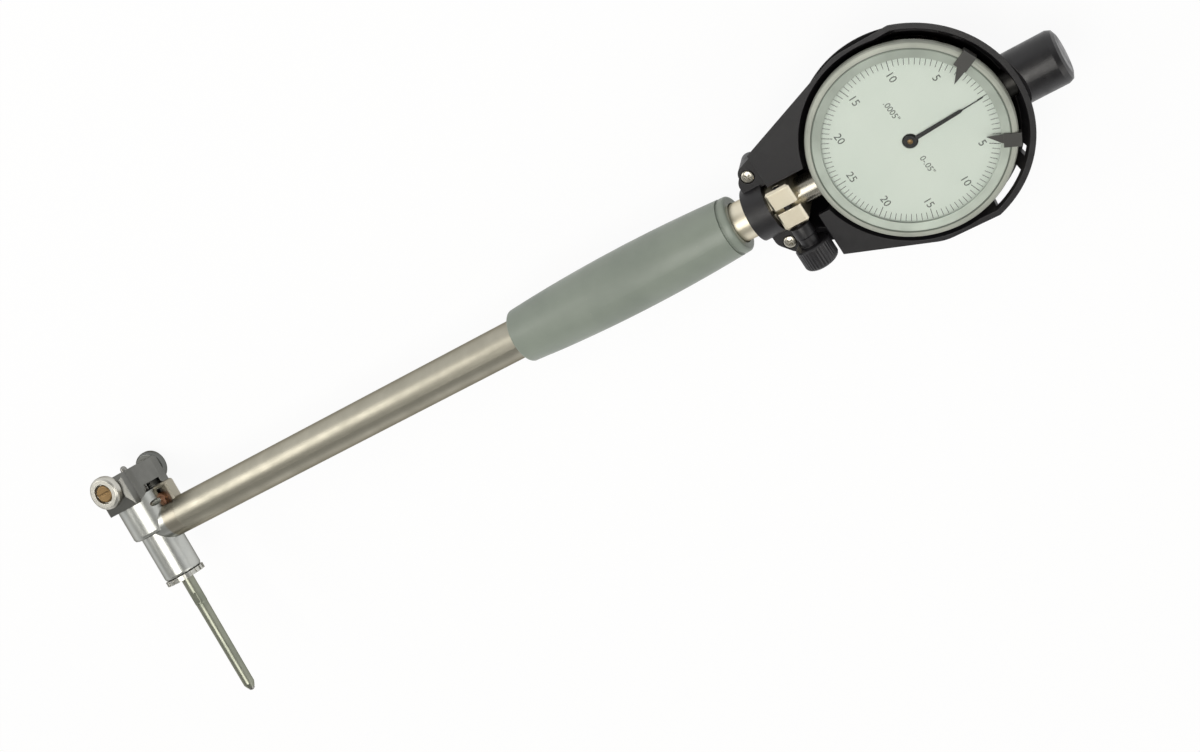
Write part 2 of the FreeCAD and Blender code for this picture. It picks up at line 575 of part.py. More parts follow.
def take_up_arbor():
    """Arbor with the take-up wheel, which the hairspring loads."""
    wheel = gear(WHEEL_TEETH, GEAR_MODULE, 2.1, 2.5, MESH_ANGLE + 180, 0.3, (0, 0))
    shaft = rod("Z", 0.4, -5.2, 4.7)
    collars = fused(rod("Z", 0.9, -4.2, -3.6), rod("Z", 0.9, 1.5, 4.0))
    hub = rod("Z", 1.05, -3.4, -2.6)
    return moved(fused(shaft, collars, hub, wheel), -ARBOR_X, -ARBOR_Y, 0)


def centre_arbor():
    """Centre pinion, whose arbor carries the hand."""
    pinion = gear(PINION_TEETH, GEAR_MODULE, 2.02, 2.6, MESH_ANGLE + 15, 0.2, (0, 0))
    return fused(pinion, rod("Z", 0.6, 2.02, 5.65))


def hand():
    """Hand with a round boss, a broad arm and a thin tip."""
    neck = WINDOW_R - 8.7
    tip = WINDOW_R - 1.5
    outline = [(1.2, -0.62), (neck, -0.5), (neck + 1.0, -0.16), (tip, -0.09),
               (tip, 0.09), (neck + 1.0, 0.16), (neck, 0.5), (1.2, 0.62)]
    arm = [V(x, y, FACE_TOP + 0.15) for x, y in outline]
    plate = Part.Face(Part.makePolygon(arm + [arm[0]])).extrude(V(0, 0, 0.18))
    boss = turned("Z", [(5.48, 0.6), (5.48, 1.85), (5.76, 1.85), (5.84, 1.75), (5.84, 0.0),
                        (5.65, 0.0), (5.65, 0.6)])
    return spun(fused(boss, plate), HAND_ANGLE)


def bezel():
    """Turning bezel with a sloped inner lip over the crystal."""
    ring = turned("Z", [(BEZEL_BOTTOM, TURN_R + 0.05), (BEZEL_BOTTOM, BEZEL_R - 0.3),
                        (BEZEL_BOTTOM + 0.3, BEZEL_R), (BEZEL_TOP - 0.9, BEZEL_R),
                        (BEZEL_TOP - 0.25, BEZEL_R - 0.35), (BEZEL_TOP, BEZEL_R - 1.0),
                        (BEZEL_TOP, BEZEL_R - 1.65),
                        (BEZEL_TOP - 0.3, BEZEL_R - 1.8), (BEZEL_TOP - 0.3, BEZEL_R - 2.05),
                        (BEZEL_TOP - 0.1, BEZEL_R - 2.2), (CRYSTAL_Z1 + 0.1, WINDOW_R),
                        (CRYSTAL_Z1, WINDOW_R), (CRYSTAL_Z1, CRYSTAL_R), (CRYSTAL_Z0, CRYSTAL_R),
                        (CRYSTAL_Z0, FACE_R), (SPIGOT_TOP + 0.1, FACE_R),
                        (SPIGOT_TOP + 0.1, TURN_R + 0.05)])
    groove = sleeve("Z", BEZEL_R + 1, BEZEL_R - 0.45, BEZEL_BOTTOM + 0.65, BEZEL_BOTTOM + 1.15)
    return ring.cut(groove)


def dial_face():
    """Dial disc, carried by the bezel."""
    return sleeve("Z", FACE_R, 2.2, SPIGOT_TOP + 0.1, FACE_TOP)


def marker(angle, side):
    """Tolerance marker: clip over the bezel with a wedge whose straight side faces the zero."""
    z0 = BEZEL_TOP + 0.06
    root = BEZEL_R - 3.2
    wedge = [V(WINDOW_R - 3.9, 0, z0), V(WINDOW_R + 0.1, 2.1 * side, z0), V(root, 2.35 * side, z0),
             V(root, -0.3 * side, z0)]
    point = Part.Face(Part.makePolygon(wedge + [wedge[0]])).extrude(V(0, 0, 0.4))
    y0, y1 = sorted((-0.5 * side, 3.4 * side))
    clip = block(BEZEL_R - 4.0, BEZEL_R + 0.75, y0, y1, z0, z0 + 0.5)
    leg = block(BEZEL_R + 0.08, BEZEL_R + 0.75, y0, y1, BEZEL_BOTTOM + 0.67, z0 + 0.5)
    hook = block(BEZEL_R - 1.0, BEZEL_R + 0.75, y0, y1, BEZEL_BOTTOM + 0.67, BEZEL_BOTTOM + 1.13)
    hook = hook.cut(rod("Z", BEZEL_R - 0.4, 2, 9))
    clip_body = fused(point, clip, leg, hook)
    return spun(clip_body, angle)


put("case", case())
put("case_back", case_back())
put("back_screws", back_screws())
put("stem", sleeve("X", STEM_R, SPINDLE_R + RUN, STEM_END, 1.0 - CASE_BORE))
put("spindle_bush", sleeve("X", STEM_R, SPINDLE_R + RUN, CASE_BORE - 1.0, BUSH_END))
put("spindle", spindle())
put("contact_point", contact_point())
put("movement_plate_front", movement_plate_front())
put("movement_plate_back", movement_plate_back())
put("movement_pillars", Part.makeCompound([rod("Z", 1.3, -4.3, 4.1, at) for at in PILLARS]))
put("rack_arbor", rack_arbor())
put("take_up_arbor", take_up_arbor())
put("hairspring", hairspring())
put("centre_arbor", centre_arbor())
put("hand", hand())
put("bezel", bezel())
put("crystal", rod("Z", CRYSTAL_R, CRYSTAL_Z0, CRYSTAL_Z1))
put("dial_face", dial_face())
put("marker_left", marker(MARKER_ANGLES[0], 1))
put("marker_right", marker(MARKER_ANGLES[1], -1))


# ------------------------------------------------------------------ guard
def rounded(points):
    """Closed wire through (x, y, radius) corners, with an arc at every corner that has a radius."""
    edges = []
    count = len(points)
    ends = []
    for k in range(count):
        p = V(points[k][0], points[k][1], 0)
        a = V(points[k - 1][0], points[k - 1][1], 0)
        b = V(points[(k + 1) % count][0], points[(k + 1) % count][1], 0)
        r = points[k][2]
        if r <= 0:
            ends.append((p, None, p))
            continue
        u = (a - p).normalize()
        w = (b - p).normalize()
        half = u.getAngle(w) / 2
        run = r / math.tan(half)
        middle = (u + w).normalize()
        ends.append((p + u * run, p + middle * (r / math.sin(half) - r), p + w * run))
    for k in range(count):
        start, mid, stop = ends[k]
        if mid is not None:
            edges.append(Part.Arc(start, mid, stop).toShape())
        nxt = ends[(k + 1) % count][0]
        edges.append((stop, nxt))
    return edges


def front_outline(inset, z):
    """Outline of the front shell at a height, moved inwards by inset."""
    a = math.radians(RIM_CORNER)
    corner = (RIM_R * math.cos(a), RIM_R * math.sin(a), 0)
    upper = [corner] + list(FLANK)
    lower = [(x, -y, r) for x, y, r in reversed(upper)]
    points = upper + lower
    count = len(points)
    moved_in = []
    for k in range(count):
        p = V(points[k][0], points[k][1], 0)
        a_in = V(points[k - 1][0], points[k - 1][1], 0)
        b_out = V(points[(k + 1) % count][0], points[(k + 1) % count][1], 0)
        n1 = V(-(p - a_in).y, (p - a_in).x, 0).normalize()
        n2 = V(-(b_out - p).y, (b_out - p).x, 0).normalize()
        if k == 0:
            n1 = V(-p.x, -p.y, 0).normalize()
        if k == count - 1:
            n2 = V(-p.x, -p.y, 0).normalize()
        shift = (n1 + n2) * (inset / (1 + n1.dot(n2)))
        r = max(points[k][2] - inset, 0.8) if points[k][2] > 0 else 0
        moved_in.append((p.x + shift.x, p.y + shift.y, r))
    edges = []
    for item in rounded(moved_in):
        if isinstance(item, tuple):
            start, stop = item
            if abs(start.x - stop.x) < 0.01 and start.x > 0:
                edges.append(Part.Arc(start, V(RIM_R - inset, 0, 0), stop).toShape())
            else:
                edges.append(Part.makeLine(start, stop))
        else:
            edges.append(item)
    wire = Part.Wire(Part.__sortEdges__(edges))
    wire.translate(V(0, 0, z))
    return wire


def bowl_outline(inset, z):
    """Outline of the back shell: a large round and a small one, joined by straight flanks."""
    big = RIM_R - inset
    small = BOWL_TAIL_R - inset
    tail = BOWL_TAIL_X
    a = math.asin((big - small) / -tail)
    top_big = V(-big * math.sin(a), big * math.cos(a), z)
    top_small = V(tail - small * math.sin(a), small * math.cos(a), z)
    low_big = V(top_big.x, -top_big.y, z)
    low_small = V(top_small.x, -top_small.y, z)
    edges = [Part.Arc(low_big, V(big, 0, z), top_big).toShape(), Part.makeLine(top_big, top_small),
             Part.Arc(top_small, V(tail - small, 0, z), low_small).toShape(),
             Part.makeLine(low_small, low_big)]
    return Part.Wire(edges)


def sector(r0, r1, a0, a1, z0, z1):
    """Part of a ring between two angles."""
    ring = sleeve("Z", r1, r0, z0, z1)
    far = r1 * 2
    wedge = [V(0, 0, z0), V(far * math.cos(math.radians(a0)), far * math.sin(math.radians(a0)), z0),
             V(far * math.cos(math.radians(a1)), far * math.sin(math.radians(a1)), z0)]
    return ring.common(Part.Face(Part.makePolygon(wedge + [wedge[0]])).extrude(V(0, 0, z1 - z0)))


def wall_windows():
    """Openings in the leaning wall on both sides of the dial."""
    cuts = []
    for a0, a1, z0, z1 in ((34.0, 39.5, -1.4, 3.3), (47.0, 70.0, -1.4, 3.6)):
        cuts.append(sector(RIM_R - 5.6, RIM_R + 1.3, a0, a1, z0, z1))
        cuts.append(sector(RIM_R - 5.6, RIM_R + 1.3, -a1, -a0, z0, z1))
    return Part.makeCompound(cuts)


def guard_front():
    """Front shell: leaning rim, raised panels, screw lugs and the band over the neck."""
    low = TAPER * RIM_TOP
    outer = Part.makeLoft([front_outline(low, 0), front_outline(0, RIM_TOP)], True, True)
    dish = Part.makeCone(DISH_R - low, DISH_R + TAPER, RIM_TOP + 1, V(0, 0, 0))
    side = Part.makeLoft([front_outline(low + RIM_WALL, 0), front_outline(RIM_WALL - TAPER, RIM_TOP + 1)],
                         True, True)
    side = side.common(block(-11.5, RIM_R + 7, -50, 50, -1, RIM_TOP + 2))
    dish = fused(dish, side)
    shell = outer.cut(dish)
    hollow = Part.makeLoft([front_outline(low + WALL + TAPER, -1), front_outline(WALL + 0.7, RIM_TOP - WALL)],
                           True, True)
    hollow = hollow.cut(Part.makeCone(DISH_R - low - TAPER + WALL, DISH_R + WALL, RIM_TOP + 1, V(0, 0, -1)))
    hollow = hollow.common(block(PANEL_X + 1.6, -14, -50, 50, -2, RIM_TOP))
    shell = shell.cut(hollow).cut(block(-60, PANEL_X, -40, 40, LUG_TOP, RIM_TOP + 1))
    band = rod("X", BAND_R, TAIL_X + 0.05, CLAMP_X0 - 0.8).cut(block(-60, -30, -20, 20, -20, 0))
    shell = fused(shell, band)
    shell = shell.cut(block(CLAMP_X0 - 0.8, 1 - CASE_BORE, -CLAMP_HALF_Y - 0.8, CLAMP_HALF_Y + 0.8,
                            -1, RIM_TOP + 4))
    shell = shell.cut(block(CLAMP_X0 - 0.4, KNOB_X + KNOB_R + 0.6, -40, -CLAMP_HALF_Y - 0.6, -1, RIM_TOP + 9))
    shell = shell.cut(rod("X", NECK_R, -60, CLAMP_X0))
    for side in (-1, 1):
        at = (LUG_SCREW_X, side * LUG_SCREW_Y)
        shell = shell.cut(rod("Z", 2.1, LUG_TOP - 0.6, 9, at)).cut(rod("Z", 1.3, -1, 9, at))
    shell = shell.cut(rod("X", STEM_R + 0.3, 22, RIM_R + 7))
    return shell.cut(wall_windows())


def guard_back():
    """Back shell: bowl with a rounded bottom and the lower half of the neck band."""
    low = TAPER * RIM_TOP
    steps = ((low, 0.0), (low + 7.6, -17.4), (low + 8.6, -20.2), (low + 10.6, -AXIS_Z))
    outer = fused(*[Part.makeLoft([bowl_outline(*steps[k]), bowl_outline(*steps[k + 1])], True, True)
                    for k in range(3)])
    inner_steps = ((low + WALL, 0.0), (low + WALL + 7.2, -17.0), (low + WALL + 9.0, 1.8 - AXIS_Z))
    rings = [bowl_outline(*step) for step in inner_steps]
    inner = fused(*[Part.makeLoft([rings[k], rings[k + 1]], True, True) for k in range(2)])
    flange = Part.Face(front_outline(low, -2.4)).extrude(V(0, 0, 2.4)).common(block(-60, -20, -50, 50, -3, 1))
    flange = flange.cut(rod("Z", RIM_R - low - 0.8, -5, 5))
    bosses = [rod("Z", 3.0, -9.0, 0, (LUG_SCREW_X, side * LUG_SCREW_Y)) for side in (-1, 1)]
    cradle = rod("X", BAND_R, TAIL_X + 0.05, CLAMP_X0 - 0.8).cut(block(-60, -30, -20, 20, 0, 20))
    shell = fused(outer.cut(inner), flange.cut(inner), *bosses)
    shell = fused(shell, cradle.cut(rod("X", NECK_R, -60, -30)))
    shell = shell.cut(rod("X", NECK_R, -60, CLAMP_X0))
    shell = shell.cut(block(CLAMP_X0 - 0.3, CLAMP_X1 + 0.5, -CLAMP_HALF_Y - 0.3, CLAMP_HALF_Y + 0.3,
                            CLAMP_BOTTOM - 0.3, 1))
    shell = shell.cut(block(CLAMP_X0 - 0.4, KNOB_X + KNOB_R + 0.6, -40, -12.6, -0.9, 1))
    for side in (-1, 1):
        shell = shell.cut(rod("Z", 1.15, -7.6, 1, (LUG_SCREW_X, side * LUG_SCREW_Y)))
    shell = shell.cut(rod("X", STEM_R + 0.3, 22, RIM_R + 7))
    return shell.cut(wall_windows())


def guard_screws():
    """Two slotted screws that hold the shells together."""
    screw = turned("Z", [(-7.4, 0), (-7.4, 1.15), (LUG_TOP - 0.6, 1.15), (LUG_TOP - 0.6, 1.9),
                         (LUG_TOP + 0.1, 1.9), (LUG_TOP + 0.4, 1.5), (LUG_TOP + 0.4, 0)])
    screw = screw.cut(block(-3, 3, -0.25, 0.25, LUG_TOP, LUG_TOP + 1))
    return Part.makeCompound([moved(screw, LUG_SCREW_X, side * LUG_SCREW_Y, 0) for side in (-1, 1)])


def spindle_cap():
    """Black cap screwed on the bush at the top of the dial."""
    cap = turned("X", [(CASE_R + 1.3, 0), (CASE_R + 1.3, CAP_R), (CAP_END - 2.0, CAP_R),
                       (CAP_END - 0.6, CAP_R - 0.6),
                       (CAP_END, CAP_R - 2.0), (CAP_END, 0)])
    cap = cap.cut(rod("X", STEM_R, 20, BUSH_END)).cut(rod("X", 2.4, 30, CAP_END - 4.2))
    low = TAPER * RIM_TOP
    shape = Part.makeLoft([bowl_outline(low, 0), bowl_outline(low + 7.6, -17.4)], True, True)
    cone = Part.makeCone(RIM_R - low + 0.02, RIM_R + 3 * TAPER + 0.02, RIM_TOP + 3, V(0, 0, 0))
    return cap.cut(cone).cut(shape)


put("guard_front", guard_front())
put("guard_back", guard_back())
put("guard_screws", guard_screws())
put("spindle_cap", spindle_cap())
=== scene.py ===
"""Finishes, fine detail and studio for the dial bore gauge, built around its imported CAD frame."""
import logging
import math
from dataclasses import dataclass
from enum import Enum
from typing import Callable, Iterable, Optional, Sequence

import bmesh
import bpy
from mathutils import Matrix, Vector


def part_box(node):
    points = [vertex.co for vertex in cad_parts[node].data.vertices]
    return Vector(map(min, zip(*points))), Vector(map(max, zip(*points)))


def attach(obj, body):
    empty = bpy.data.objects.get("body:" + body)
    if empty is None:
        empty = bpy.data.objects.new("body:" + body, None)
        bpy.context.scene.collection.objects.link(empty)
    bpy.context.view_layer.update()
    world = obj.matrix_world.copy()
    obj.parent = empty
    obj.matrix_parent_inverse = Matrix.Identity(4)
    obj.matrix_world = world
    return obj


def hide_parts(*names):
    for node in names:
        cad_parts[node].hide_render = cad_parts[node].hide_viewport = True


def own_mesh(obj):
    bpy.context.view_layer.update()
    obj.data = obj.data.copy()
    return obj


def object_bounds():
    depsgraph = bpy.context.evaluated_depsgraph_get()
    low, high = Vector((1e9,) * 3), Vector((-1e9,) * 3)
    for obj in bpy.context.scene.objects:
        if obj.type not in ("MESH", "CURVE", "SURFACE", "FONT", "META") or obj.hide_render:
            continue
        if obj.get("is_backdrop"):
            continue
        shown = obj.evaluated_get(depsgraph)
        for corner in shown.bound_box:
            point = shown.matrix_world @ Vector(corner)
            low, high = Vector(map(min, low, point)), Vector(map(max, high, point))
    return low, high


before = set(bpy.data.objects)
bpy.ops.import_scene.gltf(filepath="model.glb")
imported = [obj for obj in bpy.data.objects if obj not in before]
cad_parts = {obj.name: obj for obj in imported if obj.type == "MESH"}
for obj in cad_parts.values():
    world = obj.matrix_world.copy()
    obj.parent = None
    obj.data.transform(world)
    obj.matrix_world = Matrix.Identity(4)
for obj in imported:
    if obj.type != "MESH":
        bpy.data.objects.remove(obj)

MM = 0.001
AXIS_MM = 1e-6
BORE_WAY = (0.0, 0.9593, -0.2823)
GAUGE_MIDDLE = (-0.12, 0.0, 0.02)
log = logging.getLogger("bore_gauge")


class Body(str, Enum):
    """Bodies of the gauge that new pieces ride on."""

    FRAME = "frame"
    HAND = "hand_body"
    BEZEL = "bezel_body"
    KNOB = "knob_body"


class Grain(Enum):
    """Stretch of a machining mark along each axis, as texture scale factors."""

    EVEN = (1.0, 1.0, 1.0)
    ALONG_X = (0.04, 1.0, 1.0)


def tone(red: int, green: int, blue: int) -> tuple[float, float, float, float]:
    """Turns a display colour into the linear colour that a shader takes.

    Args:
        red: Red from 0 to 255.
        green: Green from 0 to 255.
        blue: Blue from 0 to 255.

    Returns:
        Linear red, green, blue and an alpha of one.
    """
    parts = []
    for value in (red, green, blue):
        share = value / 255.0
        parts.append(share / 12.92 if share <= 0.04045 else ((share + 0.055) / 1.055) ** 2.4)
    return (parts[0], parts[1], parts[2], 1.0)


class NodeBench:
    """Builds the node tree of one material."""

    def __init__(self, name: str) -> None:
        """Starts a material with a Principled shader and an output.

        Args:
            name: Name of the material.
        """
        self.material = bpy.data.materials.new(name)
        self.material.use_nodes = True
        self.tree = self.material.node_tree
        self.tree.nodes.clear()
        self.output = self.add("ShaderNodeOutputMaterial")
        self.shader = self.add("ShaderNodeBsdfPrincipled")
        self.link(self.shader.outputs["BSDF"], self.output.inputs["Surface"])
        self.coords = self.add("ShaderNodeTexCoord").outputs["Object"]

    def add(self, kind: str, **settings: object) -> bpy.types.Node:
        """Adds a node.

        Args:
            kind: Blender's class name for the node.
            **settings: Properties to set on it.

        Returns:
            The new node.
        """
        node = self.tree.nodes.new(kind)
        for key, value in settings.items():
            setattr(node, key, value)
        return node

    def link(self, source: bpy.types.NodeSocket, target: bpy.types.NodeSocket) -> None:
        """Joins an output socket to an input socket."""
        self.tree.links.new(source, target)

    def set(self, **values: object) -> None:
        """Sets sockets of the Principled shader; an underscore stands for a space."""
        for key, value in values.items():
            self.shader.inputs[key.replace("_", " ")].default_value = value

    def noise(self, per_mm: float, stretch: Sequence[float] = (1, 1, 1), detail: float = 3.0,
              rough: float = 0.55) -> bpy.types.NodeSocket:
        """Adds a noise texture in the frame's own coordinates.

        Args:
            per_mm: How many blotches fit in a millimetre.
            stretch: Scale factors along X, Y and Z.
            detail: Octaves of the noise.
            rough: How strong the finer octaves are.

        Returns:
            The noise value's socket.
        """
        mapping = self.add("ShaderNodeMapping")
        mapping.inputs["Scale"].default_value = tuple(stretch)
        self.link(self.coords, mapping.inputs["Vector"])
        texture = self.add("ShaderNodeTexNoise")
        texture.inputs["Scale"].default_value = per_mm / MM
        texture.inputs["Detail"].default_value = detail
        texture.inputs["Roughness"].default_value = rough
        self.link(mapping.outputs["Vector"], texture.inputs["Vector"])
        return texture.outputs["Fac"]

    def span(self, value: bpy.types.NodeSocket, low: float, high: float, start: float = 0.3,
             stop: float = 0.7) -> bpy.types.NodeSocket:
        """Maps a value from start..stop to low..high.

        Args:
            value: Socket to map.
            low: Result at start.
            high: Result at stop.
            start: Input that gives low.
            stop: Input that gives high.

        Returns:
            The mapped value's socket.
        """
        node = self.add("ShaderNodeMapRange", clamp=True)
        for index, number in enumerate((start, stop, low, high), 1):
            node.inputs[index].default_value = number
        self.link(value, node.inputs[0])
        return node.outputs[0]

    def blend(self, share: bpy.types.NodeSocket, first: object, second: object) -> bpy.types.NodeSocket:
        """Mixes two colours, each given as a colour or a socket.

        Args:
            share: How much of the second colour shows.
            first: Colour or socket shown at zero.
            second: Colour or socket shown at one.

        Returns:
            The mixed colour's socket.
        """
        node = self.add("ShaderNodeMix", data_type="RGBA")
        self.link(share, node.inputs[0])
        for value, socket in ((first, node.inputs[6]), (second, node.inputs[7])):
            if isinstance(value, bpy.types.NodeSocket):
                self.link(value, socket)
            else:
                socket.default_value = value
        return node.outputs[2]

    def sum(self, operation: str, *values: object) -> bpy.types.NodeSocket:
        """Adds a maths node on numbers or sockets.

        Args:
            operation: Blender's name for the sum.
            *values: Numbers or sockets.

        Returns:
            The result's socket.
        """
        node = self.add("ShaderNodeMath", operation=operation)
        for index, value in enumerate(values):
            if isinstance(value, bpy.types.NodeSocket):
                self.link(value, node.inputs[index])
            else:
                node.inputs[index].default_value = value
        return node.outputs[0]

    def axis(self, letter: str) -> bpy.types.NodeSocket:
        """Returns the frame coordinate X, Y or Z of the shaded point, in metres."""
        node = self.add("ShaderNodeSeparateXYZ")
        self.link(self.coords, node.inputs[0])
        return node.outputs[letter]

    def radius(self, first: str, second: str, at: Sequence[float] = (0.0, 0.0)) -> bpy.types.NodeSocket:
        """Distance of the shaded point from an axis.

        Args:
            first: First coordinate across the axis.
            second: Second coordinate across the axis.
            at: Where the axis passes, in metres.

        Returns:
            The distance's socket, in metres.
        """
        one = self.sum("SUBTRACT", self.axis(first), at[0])
        two = self.sum("SUBTRACT", self.axis(second), at[1])
        squares = [self.sum("MULTIPLY", value, value) for value in (one, two)]
        return self.sum("SQRT", self.sum("ADD", *squares))

    def edge_wear(self, reach_mm: float) -> bpy.types.NodeSocket:
        """Finds outer and inner edges by comparing a rounded normal with the true one.

        Args:
            reach_mm: Width of the worn strip beside an edge.

        Returns:
            A socket that is 0 on flats and rises to 1 at edges.
        """
        rounded = self.add("ShaderNodeBevel", samples=4)
        rounded.inputs["Radius"].default_value = reach_mm * MM
        true = self.add("ShaderNodeNewGeometry")
        dot = self.add("ShaderNodeVectorMath", operation="DOT_PRODUCT")
        self.link(rounded.outputs[0], dot.inputs[0])
        self.link(true.outputs["Normal"], dot.inputs[1])
        return self.span(dot.outputs["Value"], 1.0, 0.0, 0.80, 0.99)

    def relief(self, height: bpy.types.NodeSocket, depth_mm: float, edge_mm: float = 0.12) -> None:
        """Puts a bump with softly rounded edges on the shader.

        Args:
            height: Height pattern from 0 to 1.
            depth_mm: Depth of the pattern.
            edge_mm: Radius that sharp edges appear to have.
        """
        bump = self.add("ShaderNodeBump")
        bump.inputs["Strength"].default_value = 1.0
        bump.inputs["Distance"].default_value = depth_mm * MM
        self.link(height, bump.inputs["Height"])
        if edge_mm > 0:
            rounded = self.add("ShaderNodeBevel", samples=4)
            rounded.inputs["Radius"].default_value = edge_mm * MM
            self.link(rounded.outputs[0], bump.inputs["Normal"])
        self.link(bump.outputs[0], self.shader.inputs["Normal"])


@dataclass(frozen=True)
class MetalFinish:
    """Bare or plated metal with machining marks, cloudy patches and handled edges."""

    name: str
    colour: tuple[int, int, int]
    shade: tuple[int, int, int]
    rough: float = 0.25
    spread: float = 0.08
    grain: Grain = Grain.EVEN
    marks_per_mm: float = 6.0
    depth_mm: float = 0.002
    edge_mm: float = 0.12
    rim: tuple[float, float, float, float] = (0.30, 0.28, 0.25, 1.0)
    worn_mm: float = 0.35
    worn_share: float = 0.35
    gleam: int = 22

    def make(self) -> bpy.types.Material:
        """Builds the material.

        Returns:
            The finished material.
        """
        bench = NodeBench(self.name)
        clouds = bench.noise(0.12, detail=4.0)
        marks = bench.noise(self.marks_per_mm, self.grain.value)
        mottled = bench.blend(bench.span(clouds, 0.0, 0.55), tone(*self.colour), tone(*self.shade))
        worn = bench.sum("MULTIPLY", bench.edge_wear(self.worn_mm), self.worn_share)
        bright = tuple(min(255, value + self.gleam) for value in self.colour)
        bench.link(bench.blend(worn, mottled, tone(*bright)), bench.shader.inputs["Base Color"])
        streak = bench.span(marks, self.rough - self.spread / 2, self.rough + self.spread)
        haze = bench.span(clouds, 0.0, self.spread)
        bench.link(bench.sum("ADD", streak, haze), bench.shader.inputs["Roughness"])
        bench.set(Metallic=1.0, Specular_Tint=self.rim)
        bench.relief(marks, self.depth_mm, self.edge_mm)
        return bench.material


@dataclass(frozen=True)
class PlasticFinish:
    """Moulded plastic with a spark-eroded skin, faint sink marks and rubbed edges."""

    name: str
    colour: tuple[int, int, int]
    rubbed: tuple[int, int, int]
    rough: float = 0.42
    skin_per_mm: float = 5.0
    depth_mm: float = 0.02
    edge_mm: float = 0.25
    worn_mm: float = 0.5
    worn_share: float = 0.6

    def make(self) -> bpy.types.Material:
        """Builds the material.

        Returns:
            The finished material.
        """
        bench = NodeBench(self.name)
        skin = bench.noise(self.skin_per_mm, detail=5.0, rough=0.65)
        sink = bench.noise(0.08, detail=2.0)
        grease = bench.noise(0.35, detail=4.0)
        worn = bench.sum("MULTIPLY", bench.edge_wear(self.worn_mm), bench.span(grease, 0.25, 1.0))
        rubbed = bench.sum("MULTIPLY", worn, self.worn_share)
        bench.link(bench.blend(rubbed, tone(*self.colour), tone(*self.rubbed)),
                   bench.shader.inputs["Base Color"])
        patch = bench.span(grease, self.rough - 0.09, self.rough + 0.1)
        polish = bench.sum("MULTIPLY", worn, 0.12)
        bench.link(bench.sum("SUBTRACT", patch, polish), bench.shader.inputs["Roughness"])
        bench.set(Specular_IOR_Level=0.5)
        height = bench.sum("ADD", skin, bench.sum("MULTIPLY", sink, 4.0))
        bench.relief(height, self.depth_mm, self.edge_mm)
        return bench.material


@dataclass(frozen=True)
class PaintFinish:
    """Satin stoved paint with orange peel, dust nibs and a few chips down to bright metal."""

    name: str
    colour: tuple[int, int, int]
    shade: tuple[int, int, int]
    rough: float = 0.38
    chips: float = 1.0
    bare: tuple[int, int, int] = (205, 200, 178)

    def make(self) -> bpy.types.Material:
        """Builds the material.

        Returns:
            The finished material.
        """
        bench = NodeBench(self.name)
        peel = bench.noise(1.4, detail=2.0, rough=0.4)
        tint = bench.noise(0.06, detail=3.0)
        nibs = bench.noise(0.9, detail=6.0, rough=0.7)
        coat = bench.blend(bench.span(tint, 0.0, 1.0), tone(*self.colour), tone(*self.shade))
        flaw = bench.span(nibs, 0.0, self.chips, 0.71, 0.74)
        bench.link(bench.blend(flaw, coat, tone(*self.bare)), bench.shader.inputs["Base Color"])
        bench.link(bench.span(tint, self.rough - 0.05, self.rough + 0.07), bench.shader.inputs["Roughness"])
        bench.set(Specular_IOR_Level=0.5)
        bench.relief(bench.sum("SUBTRACT", peel, bench.sum("MULTIPLY", flaw, 2.0)), 0.012, 0.15)
        return bench.material


@dataclass(frozen=True)
class PrintFinish:
    """Matt lacquer or printing ink with a faint tooth."""

    name: str
    colour: tuple[int, int, int]
    shade: tuple[int, int, int]
    rough: float = 0.55
    tooth_per_mm: float = 3.0

    def make(self) -> bpy.types.Material:
        """Builds the material.

        Returns:
            The finished material.
        """
        bench = NodeBench(self.name)
        tint = bench.noise(0.05, detail=2.0)
        tooth = bench.noise(self.tooth_per_mm, detail=3.0)
        bench.link(bench.blend(bench.span(tint, 0.0, 1.0), tone(*self.colour), tone(*self.shade)),
                   bench.shader.inputs["Base Color"])
        bench.link(bench.span(tooth, self.rough - 0.06, self.rough + 0.06), bench.shader.inputs["Roughness"])
        bench.relief(tooth, 0.002, 0.0)
        return bench.material


@dataclass(frozen=True)
class CrystalFinish:
    """Clear acrylic window with hairline scratches."""

    name: str

    def make(self) -> bpy.types.Material:
        """Builds the material.

        Returns:
            The finished material.
        """
        bench = NodeBench(self.name)
        hairs = bench.noise(1.2, (0.05, 1.0, 1.0), detail=4.0)
        bench.link(bench.span(hairs, 0.02, 0.09, 0.4, 0.75), bench.shader.inputs["Roughness"])
        bench.set(Base_Color=(0.96, 0.985, 0.97, 1.0), Transmission_Weight=1.0, IOR=1.49, Alpha=0.12)
        bench.relief(hairs, 0.0008, 0.0)
        return bench.material


